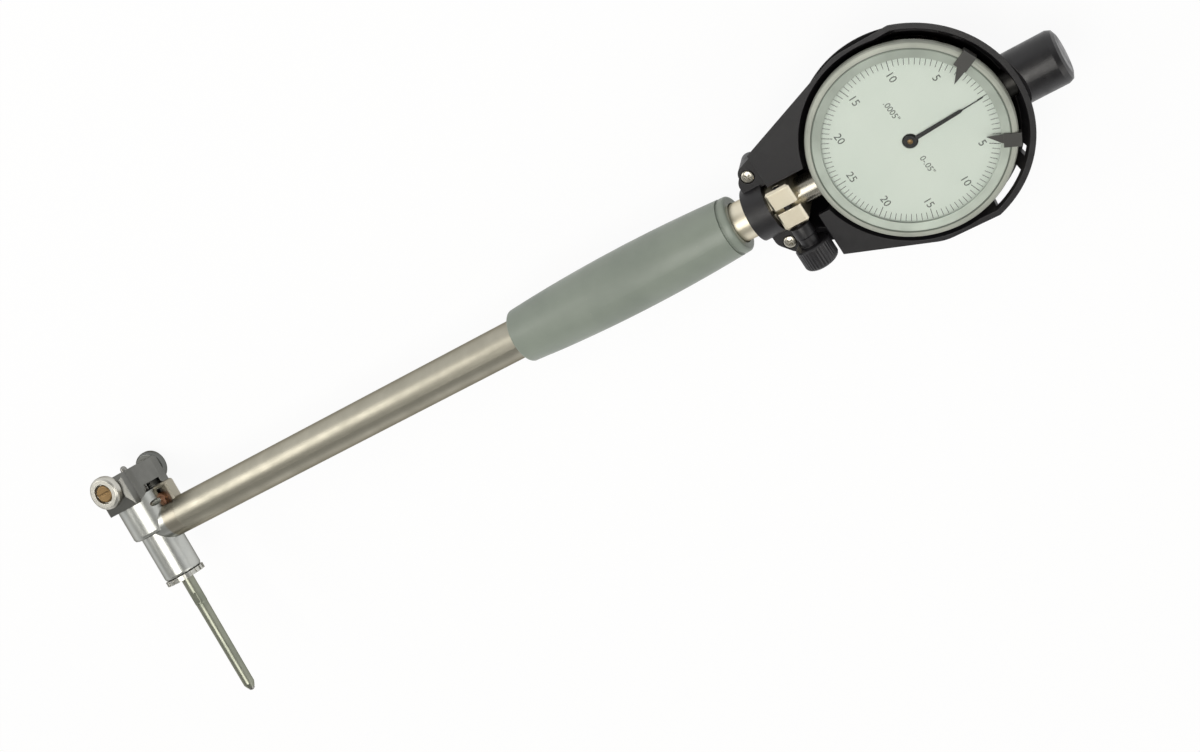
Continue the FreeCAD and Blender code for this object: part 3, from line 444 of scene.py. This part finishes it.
@dataclass(frozen=True)
class BezelFinish:
    """Satin-anodised bezel: a bright outer ring, a dark seam and a greener sloped lip."""

    name: str
    seam_mm: float
    ring: tuple[int, int, int] = (172, 176, 166)
    lip: tuple[int, int, int] = (176, 186, 176)
    cloud: tuple[int, int, int] = (120, 126, 118)
    groove: tuple[int, int, int] = (104, 112, 104)

    def make(self) -> bpy.types.Material:
        """Builds the material.

        Returns:
            The finished material.
        """
        bench = NodeBench(self.name)
        away = bench.radius("X", "Y")
        marks = bench.noise(5.0, detail=3.0)
        clouds = bench.noise(0.1, detail=3.0)
        outside = bench.span(away, 0.0, 1.0, (self.seam_mm - 0.05) * MM, (self.seam_mm + 0.05) * MM)
        base = bench.blend(outside, tone(*self.lip), tone(*self.ring))
        shaded = bench.blend(bench.span(clouds, 0.0, 0.4), base, tone(*self.cloud))
        off = bench.sum("ABSOLUTE", bench.sum("SUBTRACT", away, self.seam_mm * MM))
        seam = bench.span(off, 1.0, 0.0, 0.10 * MM, 0.22 * MM)
        bench.link(bench.blend(seam, shaded, tone(*self.groove)), bench.shader.inputs["Base Color"])
        bench.link(bench.span(marks, 0.38, 0.48), bench.shader.inputs["Roughness"])
        bench.set(Metallic=0.35)
        bench.relief(marks, 0.003, 0.12)
        return bench.material


@dataclass(frozen=True)
class HeadFinish:
    """Plated head: bright chrome on the barrels and satin on the boss beside the tube."""

    name: str
    boss_x_mm: float
    bright: tuple[int, int, int] = (196, 197, 192)
    dull: tuple[int, int, int] = (166, 170, 168)
    satin: tuple[int, int, int] = (166, 161, 147)
    fade_mm: float = 0.4

    def make(self) -> bpy.types.Material:
        """Builds the material.

        Returns:
            The finished material.
        """
        bench = NodeBench(self.name)
        start, stop = (self.boss_x_mm - self.fade_mm) * MM, (self.boss_x_mm + self.fade_mm) * MM
        boss = bench.span(bench.axis("X"), 0.0, 1.0, start, stop)
        clouds = bench.noise(0.15, detail=4.0)
        marks = bench.noise(7.0, detail=3.0)
        chrome = bench.blend(bench.span(clouds, 0.0, 0.5), tone(*self.bright), tone(*self.dull))
        bench.link(bench.blend(boss, chrome, tone(*self.satin)), bench.shader.inputs["Base Color"])
        bench.link(bench.sum("ADD", bench.span(marks, 0.26, 0.32), bench.sum("MULTIPLY", boss, 0.06)),
                   bench.shader.inputs["Roughness"])
        bench.set(Metallic=1.0, Specular_Tint=(0.26, 0.25, 0.23, 1.0))
        bench.relief(marks, 0.0015, 0.25)
        return bench.material


class Finishes:
    """Every finish on the gauge, each built once."""

    def __init__(self) -> None:
        """Builds the materials."""
        self.tube = MetalFinish("satin_chrome_tube", (176, 172, 158), (150, 147, 134), 0.34, 0.06,
                                Grain.ALONG_X, marks_per_mm=4.0, depth_mm=0.003).make()
        self.head = HeadFinish("plated_head", boss_x_mm=-286.5).make()
        self.bridge = MetalFinish("dark_satin_bridge", (128, 128, 124), (100, 101, 98), 0.36, 0.06,
                                  edge_mm=0.5).make()
        self.steel = MetalFinish("bright_steel", (196, 196, 190), (170, 170, 164), 0.2, 0.08).make()
        self.roller = MetalFinish("hardened_roller", (206, 204, 196), (182, 180, 172), 0.26, 0.05,
                                  edge_mm=0.3).make()
        self.brass = MetalFinish("dull_brass", (182, 150, 96), (140, 108, 62), 0.3, 0.1).make()
        # Darker copy of the roller finish: painted shade and painted dark reflection on the far roller,
        # which is the same steel as the near one.
        self.far_roller = MetalFinish("roller_painted_shade", (120, 121, 118), (92, 94, 92), 0.24, 0.06,
                                      edge_mm=0.3).make()
        self.screw = MetalFinish("tarnished_screw", (150, 124, 88), (104, 82, 54), 0.3, 0.08,
                                 edge_mm=0.3).make()
        self.black = MetalFinish("blackened_steel", (58, 57, 55), (42, 42, 41), 0.36, 0.08,
                                 edge_mm=0.2).make()
        self.bronze = MetalFinish("crank_bronze", (176, 132, 108), (128, 92, 76), 0.32, 0.1).make()
        self.carbide = MetalFinish("carbide", (150, 149, 145), (122, 121, 118), 0.24, 0.05).make()
        self.rod = MetalFinish("ground_rod", (150, 152, 138), (118, 124, 112), 0.3, 0.06).make()
        self.spring = MetalFinish("spring_wire", (150, 150, 148), (110, 110, 110), 0.3, 0.1).make()
        self.nickel = MetalFinish("nickel_collar", (232, 225, 205), (214, 204, 180), 0.34, 0.05,
                                  edge_mm=0.3, depth_mm=0.001).make()
        self.silver = MetalFinish("silvered_stem", (196, 192, 180), (166, 162, 150), 0.2, 0.08).make()
        self.grip = PaintFinish("grip_paint", (134, 143, 133), (123, 132, 123)).make()
        self.guard = PlasticFinish("guard_moulding", (19, 18, 21), (58, 58, 60)).make()
        self.cap = PlasticFinish("cap_moulding", (18, 17, 20), (52, 52, 54), 0.36, 7.0, 0.012).make()
        self.knob = PlasticFinish("knob_moulding", (19, 18, 21), (58, 58, 60), 0.4, 7.0, 0.012).make()
        self.marker = PlasticFinish("marker_plastic", (58, 58, 56), (86, 88, 84), 0.45, 6.0, 0.006,
                                    edge_mm=0.1).make()
        self.bezel = BezelFinish("bezel_ring", seam_mm=26.7).make()
        self.face = PrintFinish("dial_lacquer", (206, 216, 207), (201, 212, 203), 0.6).make()
        self.ink = PrintFinish("dial_ink", (62, 68, 64), (78, 84, 80), 0.6).make()
        self.hand = PrintFinish("hand_lacquer", (14, 16, 15), (20, 22, 20), 0.4).make()
        self.crystal = CrystalFinish("window_acrylic").make()


def paint(material: bpy.types.Material, *names: str) -> None:
    """Gives CAD nodes their finish.

    Args:
        material: The finish.
        *names: CAD nodes that take it.
    """
    for name in names:
        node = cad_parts[name]
        for place in node.material_slots:
            place.material = material
        log.info("%s takes %s", name, material.name)


def finished(work: bmesh.types.BMesh, name: str) -> bpy.types.Mesh:
    """Turns a working mesh into a mesh of its own and frees it.

    Args:
        work: The working mesh.
        name: Name of the mesh.

    Returns:
        The mesh.
    """
    mesh = bpy.data.meshes.new(name)
    work.to_mesh(mesh)
    work.free()
    return mesh


def new_piece(name: str, mesh: bpy.types.Mesh, material: bpy.types.Material, body: Body,
              sharp_deg: float = 32.0) -> bpy.types.Object:
    """Turns a mesh into a piece of the gauge.

    Args:
        name: Name of the piece.
        mesh: Its mesh, in the frame's metres.
        material: Its finish.
        body: The body that it rides on.
        sharp_deg: Edges sharper than this stay crisp.

    Returns:
        The new object.
    """
    mesh.name = name
    mesh.materials.clear()
    mesh.materials.append(material)
    mesh.shade_smooth()
    mesh.set_sharp_from_angle(angle=math.radians(sharp_deg))
    piece = bpy.data.objects.new(name, mesh)
    bpy.context.scene.collection.objects.link(piece)
    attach(piece, body.value)
    log.info("%s has %d faces", name, len(mesh.polygons))
    return piece


@dataclass
class Turning:
    """A turned form, given as (radius, height) pairs in millimetres along its axis."""

    profile: Sequence[tuple[float, float]]
    segments: int = 96
    ripple: Optional[Callable[[float, float, float], float]] = None

    def mesh(self, name: str, place: Matrix) -> bpy.types.Mesh:
        """Revolves the profile about the local Z axis.

        Args:
            name: Name of the mesh.
            place: Where the local frame stands in the gauge's frame.

        Returns:
            The closed mesh in metres.
        """
        work = bmesh.new()
        rings = []
        for reach, height in self.profile:
            if reach < AXIS_MM:
                rings.append([work.verts.new(place @ Vector((0, 0, height * MM)))])
                continue
            ring = []
            for step in range(self.segments):
                turn = 2 * math.pi * step / self.segments
                real = self.ripple(reach, height, turn) if self.ripple else reach
                spot = Vector((real * MM * math.cos(turn), real * MM * math.sin(turn), height * MM))
                ring.append(work.verts.new(place @ spot))
            rings.append(ring)
        for low, high in zip(rings, rings[1:]):
            self._skin(work, low, high)
        bmesh.ops.recalc_face_normals(work, faces=work.faces)
        return finished(work, name)

    def _skin(self, work: bmesh.types.BMesh, low: list, high: list) -> None:
        """Joins two neighbouring rings with faces.

        Args:
            work: The mesh being built.
            low: Vertices of the lower ring, or its one pole.
            high: Vertices of the upper ring, or its one pole.
        """
        count = max(len(low), len(high))
        if count == 1:
            return
        for step in range(count):
            after = (step + 1) % count
            if len(low) == 1:
                work.faces.new((low[0], high[step], high[after]))
            elif len(high) == 1:
                work.faces.new((low[step], low[after], high[0]))
            else:
                work.faces.new((low[step], low[after], high[after], high[step]))


def seat(origin: Sequence[float], along: Sequence[float]) -> Matrix:
    """Places a local frame with its Z axis along a direction.

    Args:
        origin: Where it stands, in metres.
        along: Direction of its Z axis.

    Returns:
        The placing matrix.
    """
    turn = Vector(along).to_track_quat("Z", "Y").to_matrix().to_4x4()
    return Matrix.Translation(Vector(origin)) @ turn


def carved(base: bpy.types.Mesh, tool: bpy.types.Mesh) -> bpy.types.Mesh:
    """Cuts one closed mesh out of another.

    Args:
        base: Mesh that is cut.
        tool: Mesh of the space to take away.

    Returns:
        The cut mesh.
    """
    first = bpy.data.objects.new("carve_base", base)
    second = bpy.data.objects.new("carve_tool", tool)
    for item in (first, second):
        bpy.context.scene.collection.objects.link(item)
    cut = first.modifiers.new("cut", "BOOLEAN")
    cut.operation, cut.object, cut.solver = "DIFFERENCE", second, "EXACT"
    ready = first.evaluated_get(bpy.context.evaluated_depsgraph_get())
    result = bpy.data.meshes.new_from_object(ready)
    for item in (first, second):
        bpy.data.objects.remove(item)
    return result


def boxes(name: str, parts: Iterable[tuple[Vector, Vector, Matrix]]) -> bpy.types.Mesh:
    """Builds one mesh of several boxes.

    Args:
        name: Name of the mesh.
        parts: For each box its centre, its full size and the frame that both are given in.

    Returns:
        The mesh.
    """
    work = bmesh.new()
    for centre, size, place in parts:
        scale = Matrix.Diagonal((size.x, size.y, size.z, 1.0))
        bmesh.ops.create_cube(work, size=1.0, matrix=place @ Matrix.Translation(centre) @ scale)
    return finished(work, name)


@dataclass(frozen=True)
class WireSpring:
    """Coil spring of round wire."""

    node: str
    joint: str
    along: tuple[float, float, float]
    length_mm: float
    coil_mm: float
    wire_mm: float
    turns: int
    travel_mm: float = 1.6
    steps_a_turn: int = 28
    sides: int = 10

    def build(self, material: bpy.types.Material) -> None:
        """Winds the spring in the place of its CAD node.

        Args:
            material: Finish of the wire.
        """
        low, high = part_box(self.node)
        middle = (low + high) / 2
        run = self.length_mm - self.wire_mm
        place = seat(middle, self.along) @ Matrix.Translation((0, 0, -run / 2 * MM))
        steps = self.turns * self.steps_a_turn
        work = bmesh.new()
        rings = []
        for step in range(steps + 1):
            turn = 2 * math.pi * self.turns * step / steps
            ring = []
            for side in range(self.sides):
                lean = 2 * math.pi * side / self.sides
                reach = (self.coil_mm + self.wire_mm / 2 * math.cos(lean)) * MM
                rise = (run * step / steps + self.wire_mm / 2 * math.sin(lean)) * MM
                spot = Vector((reach * math.cos(turn), reach * math.sin(turn), rise))
                ring.append(work.verts.new(place @ spot))
            rings.append(ring)
        for one, two in zip(rings, rings[1:]):
            for side in range(self.sides):
                after = (side + 1) % self.sides
                work.faces.new((one[side], one[after], two[after], two[side]))
        work.faces.new(rings[0])
        work.faces.new(rings[-1])
        bmesh.ops.recalc_face_normals(work, faces=work.faces)
        mesh = finished(work, self.node)
        piece = new_piece(f"{self.node}_wire", mesh, material, Body.FRAME)
        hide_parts(self.node)
        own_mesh(piece)


@dataclass
class DialPrint:
    """Scale, numerals and small captions printed on the dial face."""

    divisions: int = 100
    zero_deg: float = 4.4
    rim_mm: float = 23.95
    short_mm: float = 2.1
    long_mm: float = 3.0
    line_mm: float = 0.16
    numeral_mm: float = 2.25
    numeral_at_mm: float = 19.1
    caption_mm: float = 1.75
    captions: tuple[tuple[str, float, float], ...] = ((".0005\"", 0.6, 10.0), ("0-.05\"", 0.0, -8.4))
    font_over_figure: float = 1.38
    ink_mm: float = 0.02

    @property
    def turned(self) -> Matrix:
        """Turn of the printed scale from the frame's X axis."""
        return Matrix.Rotation(math.radians(self.zero_deg), 4, "Z")

    @property
    def level(self) -> float:
        """Height of the middle of the ink, in metres."""
        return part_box("dial_face")[1].z + self.ink_mm * MM / 2

    def build(self, finishes: Finishes) -> None:
        """Prints the face and finishes it.

        Args:
            finishes: The gauge's finishes.
        """
        new_piece("dial_graduations", self._lines(), finishes.ink, Body.BEZEL)
        for index, (text, place, size) in enumerate(self._words()):
            new_piece(f"dial_numeral_{index:02d}", self._word(text, place, size), finishes.ink, Body.BEZEL)
        paint(finishes.face, "dial_face")
        paint(finishes.crystal, "crystal")
        paint(finishes.bezel, "bezel")
        paint(finishes.marker, "marker_left", "marker_right")
        paint(finishes.hand, "hand")
        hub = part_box("hand")[1].z / MM
        pin = Turning([(0, hub), (0.75, hub), (0.75, hub + 0.03), (0.55, hub + 0.07), (0, hub + 0.08)], 48)
        new_piece("hand_pin", pin.mesh("pin", Matrix.Identity(4)), finishes.screw, Body.HAND)

    def _lines(self) -> bpy.types.Mesh:
        """Builds the graduations, longer at every tenth.

        Returns:
            The mesh of all lines.
        """
        parts = []
        for step in range(self.divisions):
            long = step % 10 == 0
            length = self.long_mm if long else self.short_mm
            width = self.line_mm * (1.25 if long else 1.0)
            place = self.turned @ Matrix.Rotation(2 * math.pi * step / self.divisions, 4, "Z")
            centre = Vector(((self.rim_mm - length / 2) * MM, 0, self.level))
            parts.append((centre, Vector((length * MM, width * MM, self.ink_mm * MM)), place))
        return boxes("dial_graduations", parts)

    def _words(self) -> list[tuple[str, Vector, float]]:
        """Lists every numeral, with the zero left to the hand.

        Returns:
            Text, centre in the dial's own frame and height in millimetres.
        """
        words = []
        for step in range(1, 10):
            value = 5 * min(step, 10 - step)
            turn = math.radians(36 * step)
            words.append((str(value), Vector((math.cos(turn), math.sin(turn), 0)) * self.numeral_at_mm,
                          self.numeral_mm))
        words.extend((text, Vector((x, y, 0)), self.caption_mm) for text, x, y in self.captions)
        return words

    def _word(self, text: str, centre: Vector, size: float) -> bpy.types.Mesh:
        """Sets one word upright on the dial, where up is towards the zero.

        Args:
            text: The word.
            centre: Its centre, in millimetres.
            size: Height of its figures, in millimetres.

        Returns:
            The mesh of the word.
        """
        curve = bpy.data.curves.new("word", "FONT")
        curve.body, curve.align_x, curve.align_y = text, "CENTER", "CENTER"
        curve.size = size * self.font_over_figure * MM
        curve.extrude = self.ink_mm * MM / 2
        curve.resolution_u = 4
        holder = bpy.data.objects.new("word", curve)
        bpy.context.scene.collection.objects.link(holder)
        ready = holder.evaluated_get(bpy.context.evaluated_depsgraph_get())
        mesh = bpy.data.meshes.new_from_object(ready)
        bpy.data.objects.remove(holder)
        upright = Matrix.Rotation(-math.pi / 2, 4, "Z")
        spot = Matrix.Translation(Vector((centre.x * MM, centre.y * MM, self.level)))
        mesh.transform(self.turned @ spot @ upright)
        return mesh


@dataclass
class IndicatorWorks:
    """Case, stem and movement of the dial indicator."""

    def build(self, finishes: Finishes) -> None:
        """Finishes the indicator's case and inner works.

        Args:
            finishes: The gauge's finishes.
        """
        paint(finishes.silver, "case", "case_back", "stem")
        paint(finishes.black, "spindle_bush", "movement_plate_front")
        paint(finishes.steel, "back_screws", "spindle", "contact_point", "movement_pillars")
        paint(finishes.brass, "movement_plate_back", "rack_arbor", "take_up_arbor", "centre_arbor")
        paint(finishes.spring, "hairspring")


@dataclass
class Tube:
    """Tube with its grip and push rod."""

    spring: WireSpring = WireSpring("push_rod_spring", "push_rod_slide", (-1.0, 0.0, 0.0),
                                    length_mm=12.9, coil_mm=2.6, wire_mm=0.4, turns=7)

    def build(self, finishes: Finishes) -> None:
        """Finishes the tube's pieces.

        Args:
            finishes: The gauge's finishes.
        """
        paint(finishes.tube, "tube")
        paint(finishes.grip, "grip")
        paint(finishes.steel, "push_rod")
        self.spring.build(finishes.spring)
        paint(finishes.brass, "rod_guide_upper", "rod_guide_middle")


@dataclass
class MeasuringHead:
    """Head with its sprung bridge, rollers, contact and fixed rod."""

    springs: tuple[WireSpring, ...] = tuple(
        WireSpring(name, "bridge_slide", BORE_WAY, length_mm=4.9, coil_mm=1.5, wire_mm=0.3, turns=5)
        for name in ("bridge_spring_near", "bridge_spring_far"))

    def build(self, finishes: Finishes) -> None:
        """Finishes the head's pieces.

        Args:
            finishes: The gauge's finishes.
        """
        paint(finishes.head, "head_body")
        paint(finishes.bridge, "bridge")
        paint(finishes.roller, "roller_near")
        # The far roller takes the darker copy of the roller steel: painted shade.
        paint(finishes.far_roller, "roller_far")
        paint(finishes.screw, "roller_screw_near", "roller_screw_far")
        paint(finishes.steel, "guide_screws", "plunger", "crank_pin", "lock_nut")
        paint(finishes.bronze, "bell_crank", "plunger_bush")
        paint(finishes.carbide, "plunger_tip", "measuring_rod_tip")
        paint(finishes.rod, "measuring_rod")
        for spring in self.springs:
            spring.build(finishes.spring)


@dataclass
class StemClamp:
    """Split collar and thumb knob that hold the indicator's stem."""

    flutes: int = 36
    flute_mm: float = 0.16
    neck_mm: float = 2.7
    head_mm: float = 7.0

    def build(self, finishes: Finishes) -> None:
        """Finishes the collar and builds the knob.

        Args:
            finishes: The gauge's finishes.
        """
        paint(finishes.nickel, "stem_clamp")
        low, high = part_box("clamp_knob")
        axis = Vector(((low.x + high.x) / 2, 0, (low.z + high.z) / 2))
        reach = (high.z - low.z) / 2 / MM
        end, inner = -low.y / MM, -high.y / MM
        head = end - self.head_mm
        profile = [(0, inner), (0.9, inner), (1.2, inner + 0.3), (1.2, head - 6.45), (2.95, head - 6.45),
                   (3.0, head - 6.3), (3.0, head - 3.0), (self.neck_mm, head - 2.6),
                   (self.neck_mm, head - 0.05),
                   (reach - 0.5, head), (reach, head + 0.45), (reach, head + 1.0), (reach, end - 1.1),
                   (reach - 0.35, end - 0.45), (reach - 0.9, end - 0.1), (reach - 1.6, end), (2.6, end),
                   (2.2, end - 0.35), (0, end - 0.35)]

        def fluted(radius: float, height: float, turn: float) -> float:
            """Returns the radius at an angle, with grooves round the head's rim."""
            if radius < reach - 0.4 or not head + 0.6 < height < end - 0.3:
                return radius
            return radius - self.flute_mm * (0.5 - 0.5 * math.cos(self.flutes * turn)) ** 0.6

        mesh = Turning(profile, self.flutes * 8, fluted).mesh("knob", seat(axis, (0, -1, 0)))
        piece = new_piece("fluted_thumb_knob", mesh, finishes.knob, Body.KNOB)
        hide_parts("clamp_knob")


@dataclass
class Guard:
    """Two moulded shells with their screws and the spindle cap."""

    head_mm: float = 1.9
    dome_mm: float = 0.5
    dome_steps: int = 8
    shank_mm: float = 1.15
    cross_mm: tuple[float, float, float] = (2.2, 0.5, 1.2)
    cross_deg: tuple[float, float] = (28.0, 118.0)

    def build(self, finishes: Finishes) -> None:
        """Finishes the shells and builds the screws.

        Args:
            finishes: The gauge's finishes.
        """
        paint(finishes.guard, "guard_front", "guard_back")
        paint(finishes.cap, "spindle_cap")
        low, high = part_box("guard_screws")
        for name, side in (("near", -1), ("far", 1)):
            y = (high.y - self.head_mm * MM) * side
            spot = Vector(((low.x + high.x) / 2, y, low.z))
            mesh = self._screw(spot, (high.z - low.z) / MM)
            piece = new_piece(f"guard_screw_{name}", mesh, finishes.silver, Body.FRAME)
            if side == 1:
                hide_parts("guard_screws")

    def _screw(self, spot: Vector, length: float) -> bpy.types.Mesh:
        """Builds a domed screw with a cross recess.

        Args:
            spot: Foot of the screw, in metres.
            length: Its whole length, in millimetres.

        Returns:
            The mesh of the screw.
        """
        crown, reach = length, self.head_mm
        profile = [(0, 0), (1.0, 0), (self.shank_mm, 0.15), (self.shank_mm, crown - 1.0),
                   (reach, crown - 1.0), (reach, crown - self.dome_mm)]
        for step in range(1, self.dome_steps + 1):
            turn = math.pi / 2 * step / self.dome_steps
            profile.append((reach * math.cos(turn), crown - self.dome_mm * (1 - math.sin(turn))))
        profile[-1] = (0, crown)
        place = seat(spot, (0, 0, 1))
        body = Turning(profile, 64).mesh("screw", place)
        arm = Vector(tuple(size * MM for size in self.cross_mm))
        centre = Vector((0, 0, crown * MM))
        for degrees in self.cross_deg:
            turn = Matrix.Rotation(math.radians(degrees), 4, "Z")
            body = carved(body, boxes("cross", [(centre, arm, place @ turn)]))
        return body


@dataclass(frozen=True)
class Lamp:
    """Soft lamp: its name, place in metres, width of its square panel in metres and power in watts."""

    name: str
    spot: tuple[float, float, float]
    size: float
    power: float


@dataclass
class Studio:
    """Floor, lamps, surroundings and camera."""

    warm: tuple[float, float, float] = (1.0, 0.975, 0.93)
    lamps: tuple[Lamp, ...] = (Lamp("overhead_softbox", (-0.10, 0.10, 0.85), 0.55, 3.6),
                               Lamp("left_softbox", (-0.75, 0.45, 0.55), 0.45, 2.0),
                               Lamp("right_fill", (0.55, -0.55, 0.50), 0.60, 1.5))
    dome_strength: float = 0.42
    horizon: tuple[float, float, float, float] = (1.0, 1.0, 1.0, 1.0)
    ceiling: tuple[float, float, float, float] = (0.30, 0.30, 0.29, 1.0)
    horizon_at: float = 0.30
    ceiling_at: float = 0.62
    floor_glow: float = 0.92
    floor_half: float = 6.0
    floor_gap: float = 0.0001
    lens_mm: float = 49.92
    sensor_mm: float = 36.0
    camera_spot: tuple[float, float, float] = (0.09675, 0.15476, 0.45301)
    camera_right: tuple[float, float, float] = (0.81166, -0.55573, -0.17992)
    camera_up: tuple[float, float, float] = (0.40325, 0.75593, -0.51572)
    camera_back: tuple[float, float, float] = (0.42260, 0.34603, 0.83766)

    def build(self) -> None:
        """Sets up the studio."""
        self._floor()
        self._world()
        for lamp in self.lamps:
            self._hang(lamp)
        self._camera()
        bpy.context.scene.view_settings.view_transform = "Standard"

    def _seen(self, tree: bpy.types.NodeTree) -> bpy.types.NodeSocket:
        """Finds rays that look at the background: from the camera, off metal or through glass.

        Args:
            tree: Node tree to add to.

        Returns:
            A socket that is one on such rays.
        """
        path = tree.nodes.new("ShaderNodeLightPath")
        total = path.outputs["Is Camera Ray"]
        for name in ("Is Glossy Ray", "Is Transmission Ray"):
            node = tree.nodes.new("ShaderNodeMath")
            node.operation = "MAXIMUM"
            tree.links.new(total, node.inputs[0])
            tree.links.new(path.outputs[name], node.inputs[1])
            total = node.outputs[0]
        return total

    def _floor(self) -> None:
        """Lays a white floor that keeps a soft shadow under the gauge."""
        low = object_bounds()[0]
        work = bmesh.new()
        bmesh.ops.create_grid(work, x_segments=2, y_segments=2, size=self.floor_half,
                              matrix=Matrix.Translation((0, 0, low.z - self.floor_gap)))
        mesh = finished(work, "studio_floor")
        floor = bpy.data.objects.new("studio_floor", mesh)
        bpy.context.scene.collection.objects.link(floor)
        bench = NodeBench("floor_paper")
        bench.set(Base_Color=(0.9, 0.9, 0.9, 1.0), Roughness=0.9, Specular_IOR_Level=0.1)
        glow = bench.add("ShaderNodeEmission")
        glow.inputs["Color"].default_value = (1, 1, 1, 1)
        glow.inputs["Strength"].default_value = 1.0
        mix = bench.add("ShaderNodeMixShader")
        bench.link(bench.sum("MULTIPLY", self._seen(bench.tree), self.floor_glow), mix.inputs[0])
        bench.link(bench.shader.outputs[0], mix.inputs[1])
        bench.link(glow.outputs[0], mix.inputs[2])
        bench.link(mix.outputs[0], bench.output.inputs["Surface"])
        mesh.materials.append(bench.material)
        floor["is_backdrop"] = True

    def _world(self) -> None:
        """Lights the scene from a pale dome; metal sees a white horizon under a grey ceiling."""
        world = bpy.data.worlds.new("studio_dome")
        bpy.context.scene.world = world
        world.use_nodes = True
        tree = world.node_tree
        tree.nodes.clear()
        output = tree.nodes.new("ShaderNodeOutputWorld")
        dome = tree.nodes.new("ShaderNodeBackground")
        dome.inputs["Color"].default_value = (*self.warm, 1.0)
        dome.inputs["Strength"].default_value = self.dome_strength
        view = tree.nodes.new("ShaderNodeBackground")
        coords = tree.nodes.new("ShaderNodeTexCoord")
        split = tree.nodes.new("ShaderNodeSeparateXYZ")
        ramp = tree.nodes.new("ShaderNodeValToRGB")
        tree.links.new(coords.outputs["Generated"], split.inputs[0])
        tree.links.new(split.outputs["Z"], ramp.inputs[0])
        stops = ((self.horizon_at, self.horizon), (self.ceiling_at, self.ceiling))
        for element, (position, colour) in zip(ramp.color_ramp.elements, stops):
            element.position, element.color = position, colour
        tree.links.new(ramp.outputs[0], view.inputs["Color"])
        mix = tree.nodes.new("ShaderNodeMixShader")
        tree.links.new(self._seen(tree), mix.inputs[0])
        tree.links.new(dome.outputs[0], mix.inputs[1])
        tree.links.new(view.outputs[0], mix.inputs[2])
        tree.links.new(mix.outputs[0], output.inputs["Surface"])

    def _hang(self, lamp: Lamp) -> None:
        """Hangs a soft lamp that looks at the middle of the gauge.

        Args:
            lamp: The lamp to hang.
        """
        data = bpy.data.lights.new(lamp.name, "AREA")
        data.energy, data.size, data.color = lamp.power, lamp.size, self.warm
        panel = bpy.data.objects.new(lamp.name, data)
        bpy.context.scene.collection.objects.link(panel)
        panel.location = lamp.spot
        aim = Vector(GAUGE_MIDDLE) - Vector(lamp.spot)
        panel.rotation_euler = aim.to_track_quat("-Z", "Y").to_euler()
        log.info("%s hung", lamp.name)

    def _camera(self) -> None:
        """Sets the camera above and beside the dial."""
        data = bpy.data.cameras.new("camera")
        data.lens, data.sensor_width = self.lens_mm, self.sensor_mm
        data.clip_start, data.clip_end = 0.01, 50.0
        camera = bpy.data.objects.new("camera", data)
        bpy.context.scene.collection.objects.link(camera)
        rows = zip(self.camera_right, self.camera_up, self.camera_back, self.camera_spot)
        camera.matrix_world = Matrix([*rows, (0, 0, 0, 1)])
        bpy.context.scene.camera = camera


def main() -> None:
    """Builds every sub-assembly in order."""
    logging.basicConfig(level=logging.INFO, format="%(name)s: %(message)s")
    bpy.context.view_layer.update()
    finishes = Finishes()
    for part in (MeasuringHead(), Tube(), StemClamp(), IndicatorWorks(), DialPrint(), Guard()):
        part.build(finishes)
    Studio().build()
    log.info("size written")


if __name__ == "__main__":
    main()
